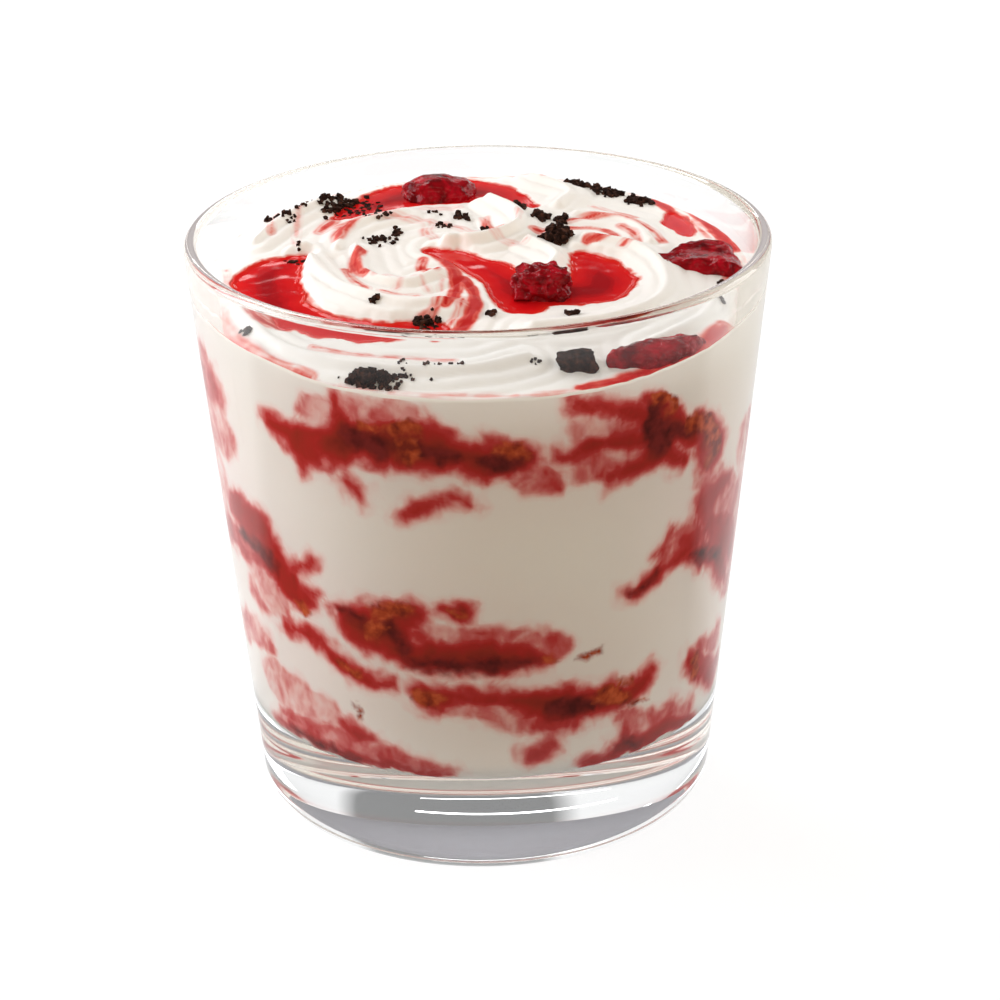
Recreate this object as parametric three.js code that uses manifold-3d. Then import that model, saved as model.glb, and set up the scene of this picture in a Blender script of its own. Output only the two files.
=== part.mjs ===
// A glass of soft serve: whipped cream ice rippled with red fruit sauce, swirled on top and
// finished with fruit and dark biscuit. Millimetres, +Z up. The origin is the centre of the
// foot, on the surface that the glass stands on, and -Y is the side it is looked at from.
// Angles run round the glass in degrees: 0 is the front (-Y), and they grow towards +X.
import * as THREE from 'three';
import { mergeVertices } from 'three/addons/utils/BufferGeometryUtils.js';
import Module from 'manifold-3d';

const wasm = await Module();
wasm.setup();

// ---- the glass: a straight-sided tumbler with a heavy base
const GLASS_HEIGHT = 93;
const RIM_RADIUS = 45.1;
const FOOT_RADIUS = 35.5;         // the outer cone's radius, run down to the surface
const FOOT_ROUNDING = 6;
const FOOT_RING_INSIDE = 24;      // the flat ring it stands on starts here
const PUNT_DEPTH = 0.8;
const FLOOR_HEIGHT = 16.5;        // top of the thick base, where the food starts
const FLOOR_ROUNDING = 4;
const WALL_AT_FLOOR = 3.4;
const WALL_AT_RIM = 2.3;
const GLASS_SEGMENTS = 60;
const PUNT_SLOPE = 2;             // how far in the foot ring's inner edge rises to the punt
const FOOT_STEPS = 4;             // facets of each rounded corner
const LIP_STEPS = 6;
const FLOOR_STEPS = 3;

// ---- the food inside
const GAP = 0.3;                  // between neighbouring pieces
const FILL_HEIGHT = 85.6;         // level of the cream half way out
const FILL_DOME = 1.5;            // how much higher the middle is than the edge
const FILL_TILT = 0.06;           // rise per mm towards the back
const FILL_RADIUS = 42;
const SIDE_TOP = 80;              // below its swirled edge the cream's side is plain
const CORNER_SHARE = 0.65;        // where the cream's lower corner has its extra ring
const TOP_RINGS = 12;             // rings of triangles over the swirled top
const LAYER_SECTORS = 60;
const FIRST_ANGLE = -96;          // where the lobes' angles start, and 360 further on they end
const CORE_SHARE = 0.5;           // how far out a sauce layer runs all the way round
const CORE_HALF = 0.9;            // half its thickness there
const CORE_WOBBLE = 0.06;         // how uneven its inner outline is
const CORE_WAVES = 3;             // and in how many waves
const LAYER_ROOM = 0.7;           // gap round a layer
const ROOM_BEYOND = 5;            // its room runs this many gaps on, through the cream's side
const CORE_LIP = 1.2;             // how far it runs on between its lobes
const LOBE_RAMP = 6;              // degrees over which a lobe reaches the glass
const LOBE_WIDEN = 2;             // degrees of room at a lobe's ends
const LOBE_TIP = 0.02;            // least share of its thickness, squared
const LOBE_RAGGED = 0.16;         // how uneven its thickness is
const LOBE_WAVE = 0.55;           // radians of that unevenness for each degree

// Ridges of the swirl: [x, y, half width] along each, and their height.
const RIDGES = [
  { height: 1.9, path: [[-27, 9, 2.6], [-25, 0, 3.6], [-20, -9, 4.2], [-12, -15, 3.8], [-5, -15, 2.4]] },
  { height: 2.2, path: [[2, 27, 2.4], [6, 21, 2.6], [6, 14, 2.4], [1, 9.5, 2.0], [-5, 9, 1.6]] },
  { height: 1.6, path: [[8, 9, 2.0], [12, 3, 2.3], [11, -2, 1.5]] },
  {
    height: 1.8,
    path: [[17, 10, 2.5], [25, 6, 3.0], [28.5, -4, 3.2], [27, -14, 3.4], [19, -20.5, 3.2], [8, -23, 2.6]],
  },
  { height: 1.4, path: [[-19, 8, 2.2], [-17, -3, 2.4], [-11, -7, 2.2], [-6, -3, 1.8]] },
  { height: 1.5, path: [[9, 39, 2.8], [15, 32, 2.8], [13, 25.5, 2.2]] },
  { height: 1.4, path: [[-12, 23, 2.8], [-20, 17, 2.8], [-22, 8, 2.4]] },
  { height: 1.5, path: [[-35, 13, 2.4], [-31, 22, 3.0], [-25, 30, 2.4]] },
  { height: 1.0, path: [[16, 22, 2.0], [24, 19, 2.4], [27, 10, 2.2]] },
  { height: 1.2, path: [[38, -10, 2.6], [33, -20, 3.0], [24, -28, 2.6]] },
  { height: 1.3, path: [[-36, -16, 2.4], [-28, -27, 3.0], [-17, -33, 2.6], [-3, -35, 2.4], [7, -32, 2.0]] },
];

// Pools of sauce in the troughs between them, each made of one or two strokes.
const POOL_DEPTH = 1.6;
const POOL_PROUD = 0.25;
const POOL_EDGE_DEPTH = 0.5;
const POOL_EDGE_PROUD = 0.05;
const POOL_SHOULDER = 0.6;        // share of its half width where its bed has a corner
const POOL_SHOULDER_DEPTH = 0.85; // and share of its depth there
const POOL_TIP = 0.7;             // how far its ends run on, as a share of the half width
const TROUGH_REACH = 0.5;         // how far the dip spreads beyond a pool's edge, likewise
const STROKE_STEPS = 2;           // sections along a stroke, for each point given
const OPEN_ABOVE = 5;             // how far the room for a pool is cut upwards
const TROUGH = 0.8;               // how far the cream dips under a pool
const POOLS = {
  sauce_pool_left: [
    [[-27.5, 6.5, 1.6], [-32, 2, 4.6], [-32, -6, 5.4], [-29.5, -13, 4.6], [-23, -20, 3.9],
      [-14, -22.5, 3.6], [-7.5, -21.5, 2.8]],
  ],
  sauce_pool_back: [
    [[-22, 24, 1.4], [-17, 29, 4.0], [-10, 34, 5.6], [-1, 35, 5.6], [5, 31.5, 2.8], [9, 27, 0.8]],
  ],
  sauce_pool_centre: [
    [[-7, 7.5, 1.4], [-2, 3.5, 2.6], [3, -2.5, 3.8], [6.5, -9, 5.0], [7, -14, 3.4]],
    [[16, 5, 2.0], [18.5, -1, 4.6], [17.5, -7.5, 5.6], [9, -10, 4.4]],
  ],
  sauce_streak_right: [
    [[31, 24, 1.0], [31.8, 20, 2.2], [33, 15.5, 1.4]],
  ],
};

// Sauce layers inside. Each runs through the food as a thin sheet, and where it reaches the
// glass it swells into lobes: from and to in degrees, the height of the lobe's middle line at
// its two ends, how thick it gets, and how far its middle bows up.
const LAYERS = {
  sauce_layer_upper: {
    height: 72,
    lobes: [
      { from: -86, to: -52, start: 71.5, end: 73.5, thick: 13, bow: 0 },
      { from: -49, to: 11, start: 72.5, end: 72, thick: 9, bow: 2 },
      { from: 16, to: 64, start: 73, end: 65, thick: 9.5, bow: 3 },
      { from: 88, to: 128, start: 71, end: 74, thick: 7, bow: 1 },
      { from: 145, to: 196, start: 74, end: 70, thick: 9, bow: 1.5 },
      { from: 216, to: 258, start: 70, end: 72, thick: 7, bow: -1 },
    ],
  },
  sauce_layer_middle: {
    height: 45,
    lobes: [
      { from: -84, to: -40, start: 49.5, end: 45, thick: 9.5, bow: 3 },
      { from: -36, to: 13, start: 43.5, end: 37, thick: 8, bow: -1.5 },
      { from: 32, to: 84, start: 46, end: 42, thick: 15, bow: 7 },
      { from: 104, to: 150, start: 45, end: 49, thick: 7, bow: -2 },
      { from: 170, to: 214, start: 43, end: 46, thick: 8, bow: 1 },
      { from: 232, to: 262, start: 47, end: 44, thick: 6, bow: 0 },
    ],
  },
  sauce_layer_lower: {
    height: 31,
    lobes: [
      { from: -78, to: -50, start: 30.5, end: 31.5, thick: 5, bow: 1 },
      { from: -18, to: 44, start: 31.5, end: 30, thick: 6, bow: -1.5 },
      { from: 56, to: 84, start: 28, end: 25, thick: 6, bow: 0 },
      { from: 110, to: 160, start: 30, end: 27, thick: 6, bow: 1 },
      { from: 186, to: 238, start: 26, end: 31, thick: 6, bow: 1 },
    ],
  },
  sauce_layer_floor: {
    height: FLOOR_HEIGHT + GAP + CORE_HALF,
    lobes: [
      { from: -76, to: -8, start: 20.5, end: 19, thick: 5, bow: 0.5 },
      { from: 28, to: 64, start: 19, end: 19.5, thick: 5, bow: 0.5 },
      { from: 120, to: 200, start: 19, end: 20, thick: 4.5, bow: 0.5 },
      { from: 222, to: 256, start: 20, end: 19.5, thick: 4.5, bow: 0.3 },
    ],
  },
};

// Pieces of fruit. A lump has its centre in plan, its three half sizes and how knobbly it is;
// a chunk has its outline in plan and its thickness. Each rises above the cream by rise.
const FRUIT_LUMPS = {
  fruit_piece_back: { at: [-6, 34], half: [6.2, 5.0, 3.2], knobs: 0.05, rise: 0.6 },
  fruit_piece_centre: { at: [9.5, -8], half: [4.4, 4.6, 3.6], knobs: 0.16, rise: 0.6 },
};
const FRUIT_CHUNKS = {
  fruit_piece_right: {
    outline: [[27, -1.5], [29.5, 4], [33.5, 8.5], [39, 6], [39.6, -2], [34, -1.5]],
    thick: 4.6, rise: 2.6,
  },
  fruit_piece_front: {
    outline: [[17.5, -32], [20, -28.5], [28, -24], [33, -24.5], [30, -28.5], [24, -33]],
    thick: 4.4, rise: 2.2,
  },
};
const CHUNK_BEVEL = 0.7;
const FRUIT_DETAIL = 2;           // how finely a lump is divided
const BISCUIT_DETAIL = 1;

// Pieces of dark biscuit, as lumps.
const BISCUITS = {
  biscuit_chunk_front: { at: [14, -33.2], half: [3.2, 2.7, 2.6], knobs: 0.2, rise: 0.9 },
  biscuit_lump_centre: { at: [12.5, 11.5], half: [2.7, 2.5, 2.3], knobs: 0.2, rise: 0.9 },
  biscuit_lump_front_left: { at: [-15.5, -36.2], half: [4.4, 2.7, 2.4], knobs: 0.22, rise: 0.7 },
};

// Biscuit crumbs stuck to the cream: middle of each cluster, its half spread, and how many.
const CRUMB_RADIUS = 0.85;
const CRUMB_UNEVEN = 0.35;        // how much its size varies
const CRUMB_PROUD = 0.35;         // height of its middle above the cream, as a share of its radius
const CRUMB_TURN = 0.7;           // radians that each one is tipped further than the last
const LUMP_CLEARANCE = 1.2;       // room that crumbs leave round a lump, as a share of its size
const CHUNK_CLEARANCE = 4;        // and round each corner of a chunk
const CRUMB_CLUSTERS = [
  { at: [-25, 28], spread: [4.5, 4.5], count: 6 },
  { at: [22, 31.5], spread: [4.5, 4.0], count: 6 },
  { at: [-15, 13], spread: [3.5, 3.0], count: 4 },
  { at: [12, 20.5], spread: [2.6, 1.6], count: 3 },
  { at: [-3, 20.5], spread: [3.0, 2.6], count: 3 },
  { at: [-22, -34], spread: [2.6, 2.2], count: 2 },
  { at: [-16, -15], spread: [0, 0], count: 1 },
  { at: [14, -19], spread: [0, 0], count: 1 },
];

const GOLDEN_ANGLE = Math.PI * (3 - Math.sqrt(5));

// Waves over a round form, as radians for each half size, that make a lump knobbly.
const KNOB_WAVES = {
  coarse: new THREE.Vector3(5.1, 0, 2.3),
  cross: new THREE.Vector3(0, 4.3, 0),
  fine: new THREE.Vector3(0, 3.9, 7.7),
  shift: 1.1,
  fineShare: 0.6,
};

// ---- materials
const material = (color, roughness) => new THREE.MeshStandardMaterial({ color, roughness, metalness: 0 });
const clearGlass = new THREE.MeshStandardMaterial({
  color: '#e9eef0', roughness: 0.03, metalness: 0, transparent: true, opacity: 0.3,
});
const cream = material('#f3efe9', 0.45);
const sauce = material('#c81a1c', 0.15);
const layerSauce = material('#a3342f', 0.4);
const fruit = material('#7b1c18', 0.2);
const biscuit = material('#1d1410', 0.85);

// ---- small helpers
const lerp = (a, b, t) => a + (b - a) * t;
const smooth = (t) => { const c = Math.min(Math.max(t, 0), 1); return c * c * (3 - 2 * c); };
const onCircle = (radius, degrees, z) => {
  const turn = THREE.MathUtils.degToRad(degrees);
  return new THREE.Vector3(radius * Math.sin(turn), -radius * Math.cos(turn), z);
};

/** A closed geometry as a solid that can be cut and joined. */
function toSolid(geometry) {
  const bare = geometry.clone();
  bare.deleteAttribute('normal');
  bare.deleteAttribute('uv');
  const merged = mergeVertices(bare, 1e-4);
  return new wasm.Manifold(new wasm.Mesh({
    numProp: 3,
    vertProperties: new Float32Array(merged.attributes.position.array),
    triVerts: new Uint32Array(merged.index.array),
  }));
}

/** The largest body of a solid: a cut beside wall or floor can leave a thin loose scrap, which goes. */
function largest(solid) {
  return solid.decompose().reduce((most, next) => (next.volume() > most.volume() ? next : most));
}

/** A solid as a named mesh. */
function toMesh(name, solid, meshMaterial) {
  const { vertProperties, triVerts } = solid.getMesh();
  const geometry = new THREE.BufferGeometry();
  geometry.setAttribute('position', new THREE.BufferAttribute(new Float32Array(vertProperties), 3));
  geometry.setIndex(new THREE.BufferAttribute(new Uint32Array(triVerts), 1));
  geometry.computeVertexNormals();
  const mesh = new THREE.Mesh(geometry, meshMaterial);
  mesh.name = name;
  return mesh;
}

/** A geometry from a list of points and a list of triangles of their indices. */
function fromFaces(points, faces) {
  const geometry = new THREE.BufferGeometry().setFromPoints(points);
  geometry.setIndex(faces.flat());
  return geometry;
}

/**
 * Rings of points, each with as many points, closed into a solid by a point at each end. Seen from
 * the first point, the rings run anticlockwise.
 */
function fromRings(first, rings, last) {
  const count = rings[0].length;
  const points = [first, ...rings.flat(), last];
  const at = (ring, k) => 1 + ring * count + (k % count);
  const faces = [];
  for (let k = 0; k < count; k += 1) {
    faces.push([0, at(0, k), at(0, k + 1)]);
    for (let ring = 0; ring + 1 < rings.length; ring += 1) {
      faces.push([at(ring, k), at(ring + 1, k), at(ring + 1, k + 1)]);
      faces.push([at(ring, k), at(ring + 1, k + 1), at(ring, k + 1)]);
    }
    faces.push([points.length - 1, at(rings.length - 1, k + 1), at(rings.length - 1, k)]);
  }
  return fromFaces(points, faces);
}

// ---- the glass's two surfaces
const outerRadius = (z) => lerp(FOOT_RADIUS, RIM_RADIUS, z / GLASS_HEIGHT);
const wallAt = (z) => lerp(WALL_AT_FLOOR, WALL_AT_RIM, (z - FLOOR_HEIGHT) / (GLASS_HEIGHT - FLOOR_HEIGHT));

/** Radius of the hollow at a height, with its rounded corner at the floor. */
function hollowRadius(z) {
  const straight = outerRadius(z) - wallAt(z);
  const below = FLOOR_HEIGHT + FLOOR_ROUNDING - z;
  if (below <= 0) return straight;
  const reach = Math.min(below, FLOOR_ROUNDING);
  return straight - FLOOR_ROUNDING + Math.sqrt(FLOOR_ROUNDING ** 2 - reach ** 2);
}

function glassGeometry() {
  const arc = (cx, cz, radius, from, to, steps) => Array.from({ length: steps + 1 }, (_, i) => {
    const turn = THREE.MathUtils.degToRad(lerp(from, to, i / steps));
    return new THREE.Vector2(cx + radius * Math.cos(turn), cz + radius * Math.sin(turn));
  });
  const lip = WALL_AT_RIM / 2;
  const lipHeight = GLASS_HEIGHT - lip;
  const cornerHeight = FLOOR_HEIGHT + FLOOR_ROUNDING;
  const cornerRadius = hollowRadius(cornerHeight) - FLOOR_ROUNDING;
  const profile = [
    new THREE.Vector2(0, PUNT_DEPTH),
    new THREE.Vector2(FOOT_RING_INSIDE - PUNT_SLOPE, PUNT_DEPTH),
    new THREE.Vector2(FOOT_RING_INSIDE, 0),
    ...arc(outerRadius(FOOT_ROUNDING) - FOOT_ROUNDING, FOOT_ROUNDING, FOOT_ROUNDING, -90, 0, FOOT_STEPS),
    ...arc(outerRadius(lipHeight) - lip, lipHeight, lip, 0, 180, LIP_STEPS),
    ...arc(cornerRadius, cornerHeight, FLOOR_ROUNDING, 0, -90, FLOOR_STEPS),
    new THREE.Vector2(0, FLOOR_HEIGHT),
  ];
  return new THREE.LatheGeometry(profile, GLASS_SEGMENTS).rotateX(Math.PI / 2);
}

// ---- strokes: what a spoon or a drizzle leaves, a curve with a width that changes along it
function sampled(path) {
  const curve = new THREE.CatmullRomCurve3(
    path.map(([x, y, half]) => new THREE.Vector3(x, y, half)), false, 'catmullrom', 0.5);
  return curve.getPoints(STROKE_STEPS * (path.length - 1));
}
const ridgeStrokes = RIDGES.map(({ height, path }) => ({ height, samples: sampled(path) }));
const poolStrokes = Object.values(POOLS).flat().map((path) => sampled(path));

/** How far inside a stroke a place is, as a share of its half width: 1 on its line, 0 at its edge. */
function within(samples, x, y) {
  return Math.max(...samples.map((s) => 1 - Math.hypot(x - s.x, y - s.y) / s.z));
}

/** Height of the cream's swirled top at a place in plan. */
function topHeight(x, y) {
  const level = FILL_HEIGHT + FILL_TILT * y + FILL_DOME * (1 - (x * x + y * y) / FILL_RADIUS ** 2);
  const ridges = ridgeStrokes.map(({ height, samples }) => {
    const away = 1 - within(samples, x, y);
    return height * Math.exp(-away * away);
  });
  const troughs = poolStrokes.map((samples) => smooth(within(samples, x, y) + TROUGH_REACH));
  return level + Math.max(0, ...ridges) - TROUGH * Math.max(0, ...troughs);
}

/**
 * A pool of sauce along a stroke, as a solid lens that lies in the cream: its section runs across
 * the stroke and has its left and right edge, one point on top and three below. With grow it is
 * the room that the pool needs, open to above.
 */
function poolSolid(samples, grow) {
  const edgeDepth = POOL_EDGE_DEPTH + grow;
  const edgeTop = grow > 0 ? OPEN_ABOVE : POOL_EDGE_PROUD;
  const crown = grow > 0 ? OPEN_ABOVE : POOL_PROUD;
  const depth = POOL_DEPTH + grow;
  const shoulder = POOL_SHOULDER_DEPTH * depth;
  const section = [
    [-1, -edgeDepth], [-1, edgeTop], [0, crown], [1, edgeTop],
    [1, -edgeDepth], [POOL_SHOULDER, -shoulder], [0, -depth], [-POOL_SHOULDER, -shoulder],
  ];
  const direction = (i) => {
    const next = samples[Math.min(i + 1, samples.length - 1)];
    const last = samples[Math.max(i - 1, 0)];
    return new THREE.Vector2(next.x - last.x, next.y - last.y).normalize();
  };
  const rings = samples.map((s, i) => {
    const along = direction(i);
    return section.map(([across, rise]) => {
      const x = s.x - along.y * across * (s.z + grow);
      const y = s.y + along.x * across * (s.z + grow);
      return new THREE.Vector3(x, y, topHeight(x, y) + rise);
    });
  });
  const tip = (i, side) => {
    const s = samples[i];
    const along = direction(i).multiplyScalar(side * (POOL_TIP * s.z + 2 * grow));
    const place = new THREE.Vector3(s.x + along.x, s.y + along.y, 0);
    place.z = topHeight(place.x, place.y) - edgeDepth / 2;
    return place;
  };
  return toSolid(fromRings(tip(0, -1), rings, tip(samples.length - 1, 1)));
}

// ---- the cream
/** Points of a disc in rings of 6, 12, 18 ..., with the height that heightAt gives. */
function discTop(rings, radiusAt, heightAt) {
  const points = [new THREE.Vector3(0, 0, heightAt(0, 0))];
  for (let ring = 1; ring <= rings; ring += 1) {
    for (let k = 0; k < 6 * ring; k += 1) {
      const turn = (360 * k) / (6 * ring);
      const place = onCircle(radiusAt(turn) * (ring / rings), turn, 0);
      place.z = heightAt(place.x, place.y);
      points.push(place);
    }
  }
  const at = (ring, k) => (ring === 0 ? 0 : 1 + 3 * ring * (ring - 1) + (k % (6 * ring)));
  const faces = [];
  for (let ring = 0; ring < rings; ring += 1) {
    for (let side = 0; side < 6; side += 1) {
      for (let k = 0; k <= ring; k += 1) {
        const inner = side * ring + k;
        const outer = side * (ring + 1) + k;
        faces.push([at(ring, inner), at(ring + 1, outer), at(ring + 1, outer + 1)]);
        if (k < ring) faces.push([at(ring, inner), at(ring + 1, outer + 1), at(ring, inner + 1)]);
      }
    }
  }
  return { points, faces, edge: (k) => at(rings, k), count: 6 * rings };
}

/** Closes a disc's edge downwards through rings of half as many points and a last point. */
function closeDown(disc, ringsBelow, last) {
  const { points, faces, edge } = disc;
  const count = disc.count / 2;
  let upper = edge;
  ringsBelow.forEach((ring, i) => {
    const start = points.length;
    points.push(...ring);
    const lower = (k) => start + (k % count);
    for (let k = 0; k < count; k += 1) {
      if (i === 0) {
        faces.push([upper(2 * k), lower(k), upper(2 * k + 1)], [upper(2 * k + 1), lower(k), lower(k + 1)],
          [upper(2 * k + 1), lower(k + 1), upper(2 * k + 2)]);
      } else {
        faces.push([upper(k), lower(k), lower(k + 1)], [upper(k), lower(k + 1), upper(k + 1)]);
      }
    }
    upper = lower;
  });
  points.push(last);
  for (let k = 0; k < count; k += 1) faces.push([upper(k), points.length - 1, upper(k + 1)]);
  return fromFaces(points, faces);
}

const edgeRadius = (turn) => {
  const wallPlace = onCircle(FILL_RADIUS, turn, 0);
  return hollowRadius(topHeight(wallPlace.x, wallPlace.y)) - GAP;
};

function creamBody() {
  const disc = discTop(TOP_RINGS, edgeRadius, topHeight);
  const corner = FLOOR_HEIGHT + FLOOR_ROUNDING;
  const heights = [SIDE_TOP, corner, corner - CORNER_SHARE * FLOOR_ROUNDING, FLOOR_HEIGHT + GAP];
  const rings = heights.map((z) => Array.from({ length: disc.count / 2 }, (_, k) =>
    onCircle(hollowRadius(z) - GAP, (720 * k) / disc.count, z)));
  return toSolid(closeDown(disc, rings, new THREE.Vector3(0, 0, FLOOR_HEIGHT + GAP)));
}

// ---- sauce layers
/** How far a layer opens towards the glass at an angle, and its middle and half thickness there. */
function layerAt(layer, angle, widen) {
  let found = { open: 0, middle: layer.height, half: CORE_HALF };
  layer.lobes.forEach((lobe) => {
    const from = lobe.from - widen;
    const to = lobe.to + widen;
    const inward = Math.min(angle - from, to - angle);
    if (inward <= 0) return;
    const share = (angle - from) / (to - from);
    const bulge = Math.sin(Math.PI * share);
    const ragged = 1 + LOBE_RAGGED * Math.sin(LOBE_WAVE * angle + layer.height);
    found = {
      open: smooth(inward / LOBE_RAMP),
      middle: lerp(lobe.start, lobe.end, share) + lobe.bow * bulge,
      half: (lobe.thick / 2) * Math.sqrt(Math.max(bulge, LOBE_TIP)) * ragged,
    };
  });
  return found;
}

/**
 * One sauce layer as a solid: a sheet through the food that swells in lobes where it meets the
 * glass. With grow it is the room that the layer needs, cut on through the cream's side.
 */
function layerSolid(layer, grow) {
  const angles = Array.from({ length: LAYER_SECTORS }, (_, k) => FIRST_ANGLE + (360 * k) / LAYER_SECTORS);
  const lowest = FLOOR_HEIGHT + (grow > 0 ? 0 : GAP);
  const sections = angles.map((angle) => {
    const { open, middle, half } = layerAt(layer, angle, grow > 0 ? LOBE_WIDEN : 0);
    const wobble = Math.sin(THREE.MathUtils.degToRad(CORE_WAVES * angle) + layer.height);
    const core = CORE_SHARE * hollowRadius(layer.height) * (1 + CORE_WOBBLE * wobble);
    const wall = hollowRadius(middle) - GAP;
    const end = lerp(core + CORE_LIP + grow, wall, open);
    const out = (end - core) / (wall - core);
    const endMiddle = lerp(layer.height, middle, out);
    const endHalf = lerp(CORE_HALF, half, out) + grow;
    const high = endMiddle + endHalf;
    const low = Math.max(endMiddle - endHalf, lowest);
    const followWall = (z) => end + open * (hollowRadius(z) - hollowRadius(middle));
    const coreHalf = CORE_HALF + grow;
    const edge = [high, low].map((z) => onCircle(followWall(z), angle, z));
    const beyond = [high, low].map((z) => onCircle(followWall(z) + ROOM_BEYOND * open * grow, angle, z));
    return [
      onCircle(core, angle, layer.height + coreHalf), edge[0], ...(grow > 0 ? beyond : []), edge[1],
      onCircle(core, angle, Math.max(layer.height - coreHalf, lowest)),
    ];
  });
  const rings = sections[0].map((_, i) => sections.map((section) => section[i]));
  const middlePoint = (side) => new THREE.Vector3(0, 0,
    Math.max(layer.height + side * (CORE_HALF + grow), lowest));
  return toSolid(fromRings(middlePoint(1), rings, middlePoint(-1)));
}

// ---- fruit and biscuit
/** How far out a lump reaches in a direction, as a share of its half size. */
function knobbly(v, knobs) {
  const { coarse, cross, fine, shift, fineShare } = KNOB_WAVES;
  return 1 + knobs * (Math.sin(v.dot(coarse)) * Math.cos(v.dot(cross) + shift)
    + fineShare * Math.sin(v.dot(fine)));
}

function lumpSolid({ at: [x, y], half, knobs, rise }, detail, grow) {
  const geometry = new THREE.IcosahedronGeometry(1, detail);
  const position = geometry.attributes.position;
  const v = new THREE.Vector3();
  for (let i = 0; i < position.count; i += 1) {
    v.fromBufferAttribute(position, i);
    const size = knobbly(v, knobs);
    position.setXYZ(i, v.x * (half[0] * size + grow), v.y * (half[1] * size + grow),
      v.z * (half[2] * size + grow));
  }
  geometry.translate(x, y, topHeight(x, y) + rise);
  return toSolid(geometry);
}

function chunkSolid({ outline, thick, rise }, grow) {
  const corners = outline.map(([x, y]) => new THREE.Vector2(x, y));
  const centre = corners.reduce((sum, c) => sum.add(c), new THREE.Vector2()).divideScalar(corners.length);
  const inset = corners.map((c) => c.clone().sub(centre).setLength(c.distanceTo(centre) - CHUNK_BEVEL)
    .add(centre));
  const shape = new THREE.Shape(inset);
  const geometry = new THREE.ExtrudeGeometry(shape, {
    depth: thick - 2 * CHUNK_BEVEL, bevelThickness: CHUNK_BEVEL + grow, bevelSize: CHUNK_BEVEL + grow,
    bevelSegments: 1, steps: 1,
  });
  const top = topHeight(centre.x, centre.y) + rise;
  geometry.translate(0, 0, top - thick + CHUNK_BEVEL);
  return toSolid(geometry);
}

/** The hollow of the glass less the gap, which pieces by the wall are trimmed to. */
function hollow() {
  const ring = (z) => Array.from({ length: GLASS_SEGMENTS }, (_, k) =>
    onCircle(hollowRadius(z) - GAP, (360 * k) / GLASS_SEGMENTS, z));
  const low = FLOOR_HEIGHT + FLOOR_ROUNDING;
  const rings = [ring(GLASS_HEIGHT), ring(low)];
  return toSolid(fromRings(new THREE.Vector3(0, 0, GLASS_HEIGHT), rings, new THREE.Vector3(0, 0, low)));
}

/** True if a crumb at this place in plan is clear of sauce, fruit and biscuit pieces. */
function clearOfToppings(x, y) {
  const room = 2 * CRUMB_RADIUS;
  const inPool = poolStrokes.some((samples) =>
    samples.some((s) => Math.hypot(x - s.x, y - s.y) < s.z + room));
  const lumps = [...Object.values(FRUIT_LUMPS), ...Object.values(BISCUITS)];
  const onLump = lumps.some(({ at, half }) =>
    Math.hypot(x - at[0], y - at[1]) < half[0] * LUMP_CLEARANCE + room);
  const onChunk = Object.values(FRUIT_CHUNKS).some(({ outline }) =>
    outline.some(([cx, cy]) => Math.hypot(x - cx, y - cy) < CHUNK_CLEARANCE + room));
  return !inPool && !onLump && !onChunk && Math.hypot(x, y) < FILL_RADIUS - room - GAP;
}

function crumbs() {
  const found = [];
  CRUMB_CLUSTERS.forEach(({ at, spread, count }) => {
    for (let i = 0; i < count; i += 1) {
      const out = Math.sqrt((i + 0.5) / count);
      const x = at[0] + spread[0] * out * Math.cos(i * GOLDEN_ANGLE);
      const y = at[1] + spread[1] * out * Math.sin(i * GOLDEN_ANGLE);
      if (!clearOfToppings(x, y)) continue;
      const size = CRUMB_RADIUS * (1 + CRUMB_UNEVEN * Math.sin(i * GOLDEN_ANGLE + at[0]));
      found.push(toSolid(new THREE.IcosahedronGeometry(size, 0).rotateZ(i).rotateX(CRUMB_TURN * i)
        .translate(x, y, topHeight(x, y) + CRUMB_PROUD * size)));
    }
  });
  return found;
}

// ---- put together
const inside = hollow();
const pieces = [];
const addPieces = (sizes, look, make) => Object.entries(sizes).forEach(([name, size]) => {
  pieces.push({ name, look, solid: make(size, 0), room: make(size, GAP) });
});
addPieces(FRUIT_LUMPS, fruit, (lump, grow) => lumpSolid(lump, FRUIT_DETAIL, grow));
addPieces(FRUIT_CHUNKS, fruit, chunkSolid);
addPieces(BISCUITS, biscuit, (lump, grow) => lumpSolid(lump, BISCUIT_DETAIL, grow));

let body = creamBody();
crumbs().forEach((crumb) => { body = body.add(crumb); });

const group = new THREE.Group();
const glass = new THREE.Mesh(glassGeometry(), clearGlass);
glass.name = 'glass_tumbler';
group.add(glass);

Object.entries(LAYERS).forEach(([name, layer]) => {
  body = body.subtract(layerSolid(layer, LAYER_ROOM));
  group.add(toMesh(name, layerSolid(layer, 0), layerSauce));
});

Object.entries(POOLS).forEach(([name, strokes]) => {
  const joined = (grow) => strokes.map((path) => poolSolid(sampled(path), grow))
    .reduce((all, next) => all.add(next));
  let pool = joined(0);
  pieces.forEach(({ room }) => { pool = pool.subtract(room); });
  body = body.subtract(joined(GAP));
  group.add(toMesh(name, pool, sauce));
});

pieces.forEach(({ name, look, solid, room }) => {
  body = body.subtract(room);
  group.add(toMesh(name, solid.intersect(inside), look));
});
group.add(toMesh('soft_serve', largest(body), cream));

export default group;
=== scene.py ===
# %% [markdown]
# # A glass of soft serve
# The real thing is a low pressed-glass tumbler, filled by a machine with soft serve and rippled with
# red fruit sauce on the way. A spoon has swirled the top, and sauce, pieces of fruit and dark biscuit
# lie on it. The CAD model gives the construction; this script gives the looks, piece by piece.
# Sizes are in millimetres, turned to Blender's metres by one factor.

# %% Load the frame
import math
import random

import bpy
import numpy as np
from mathutils import Matrix, Vector, noise


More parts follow.
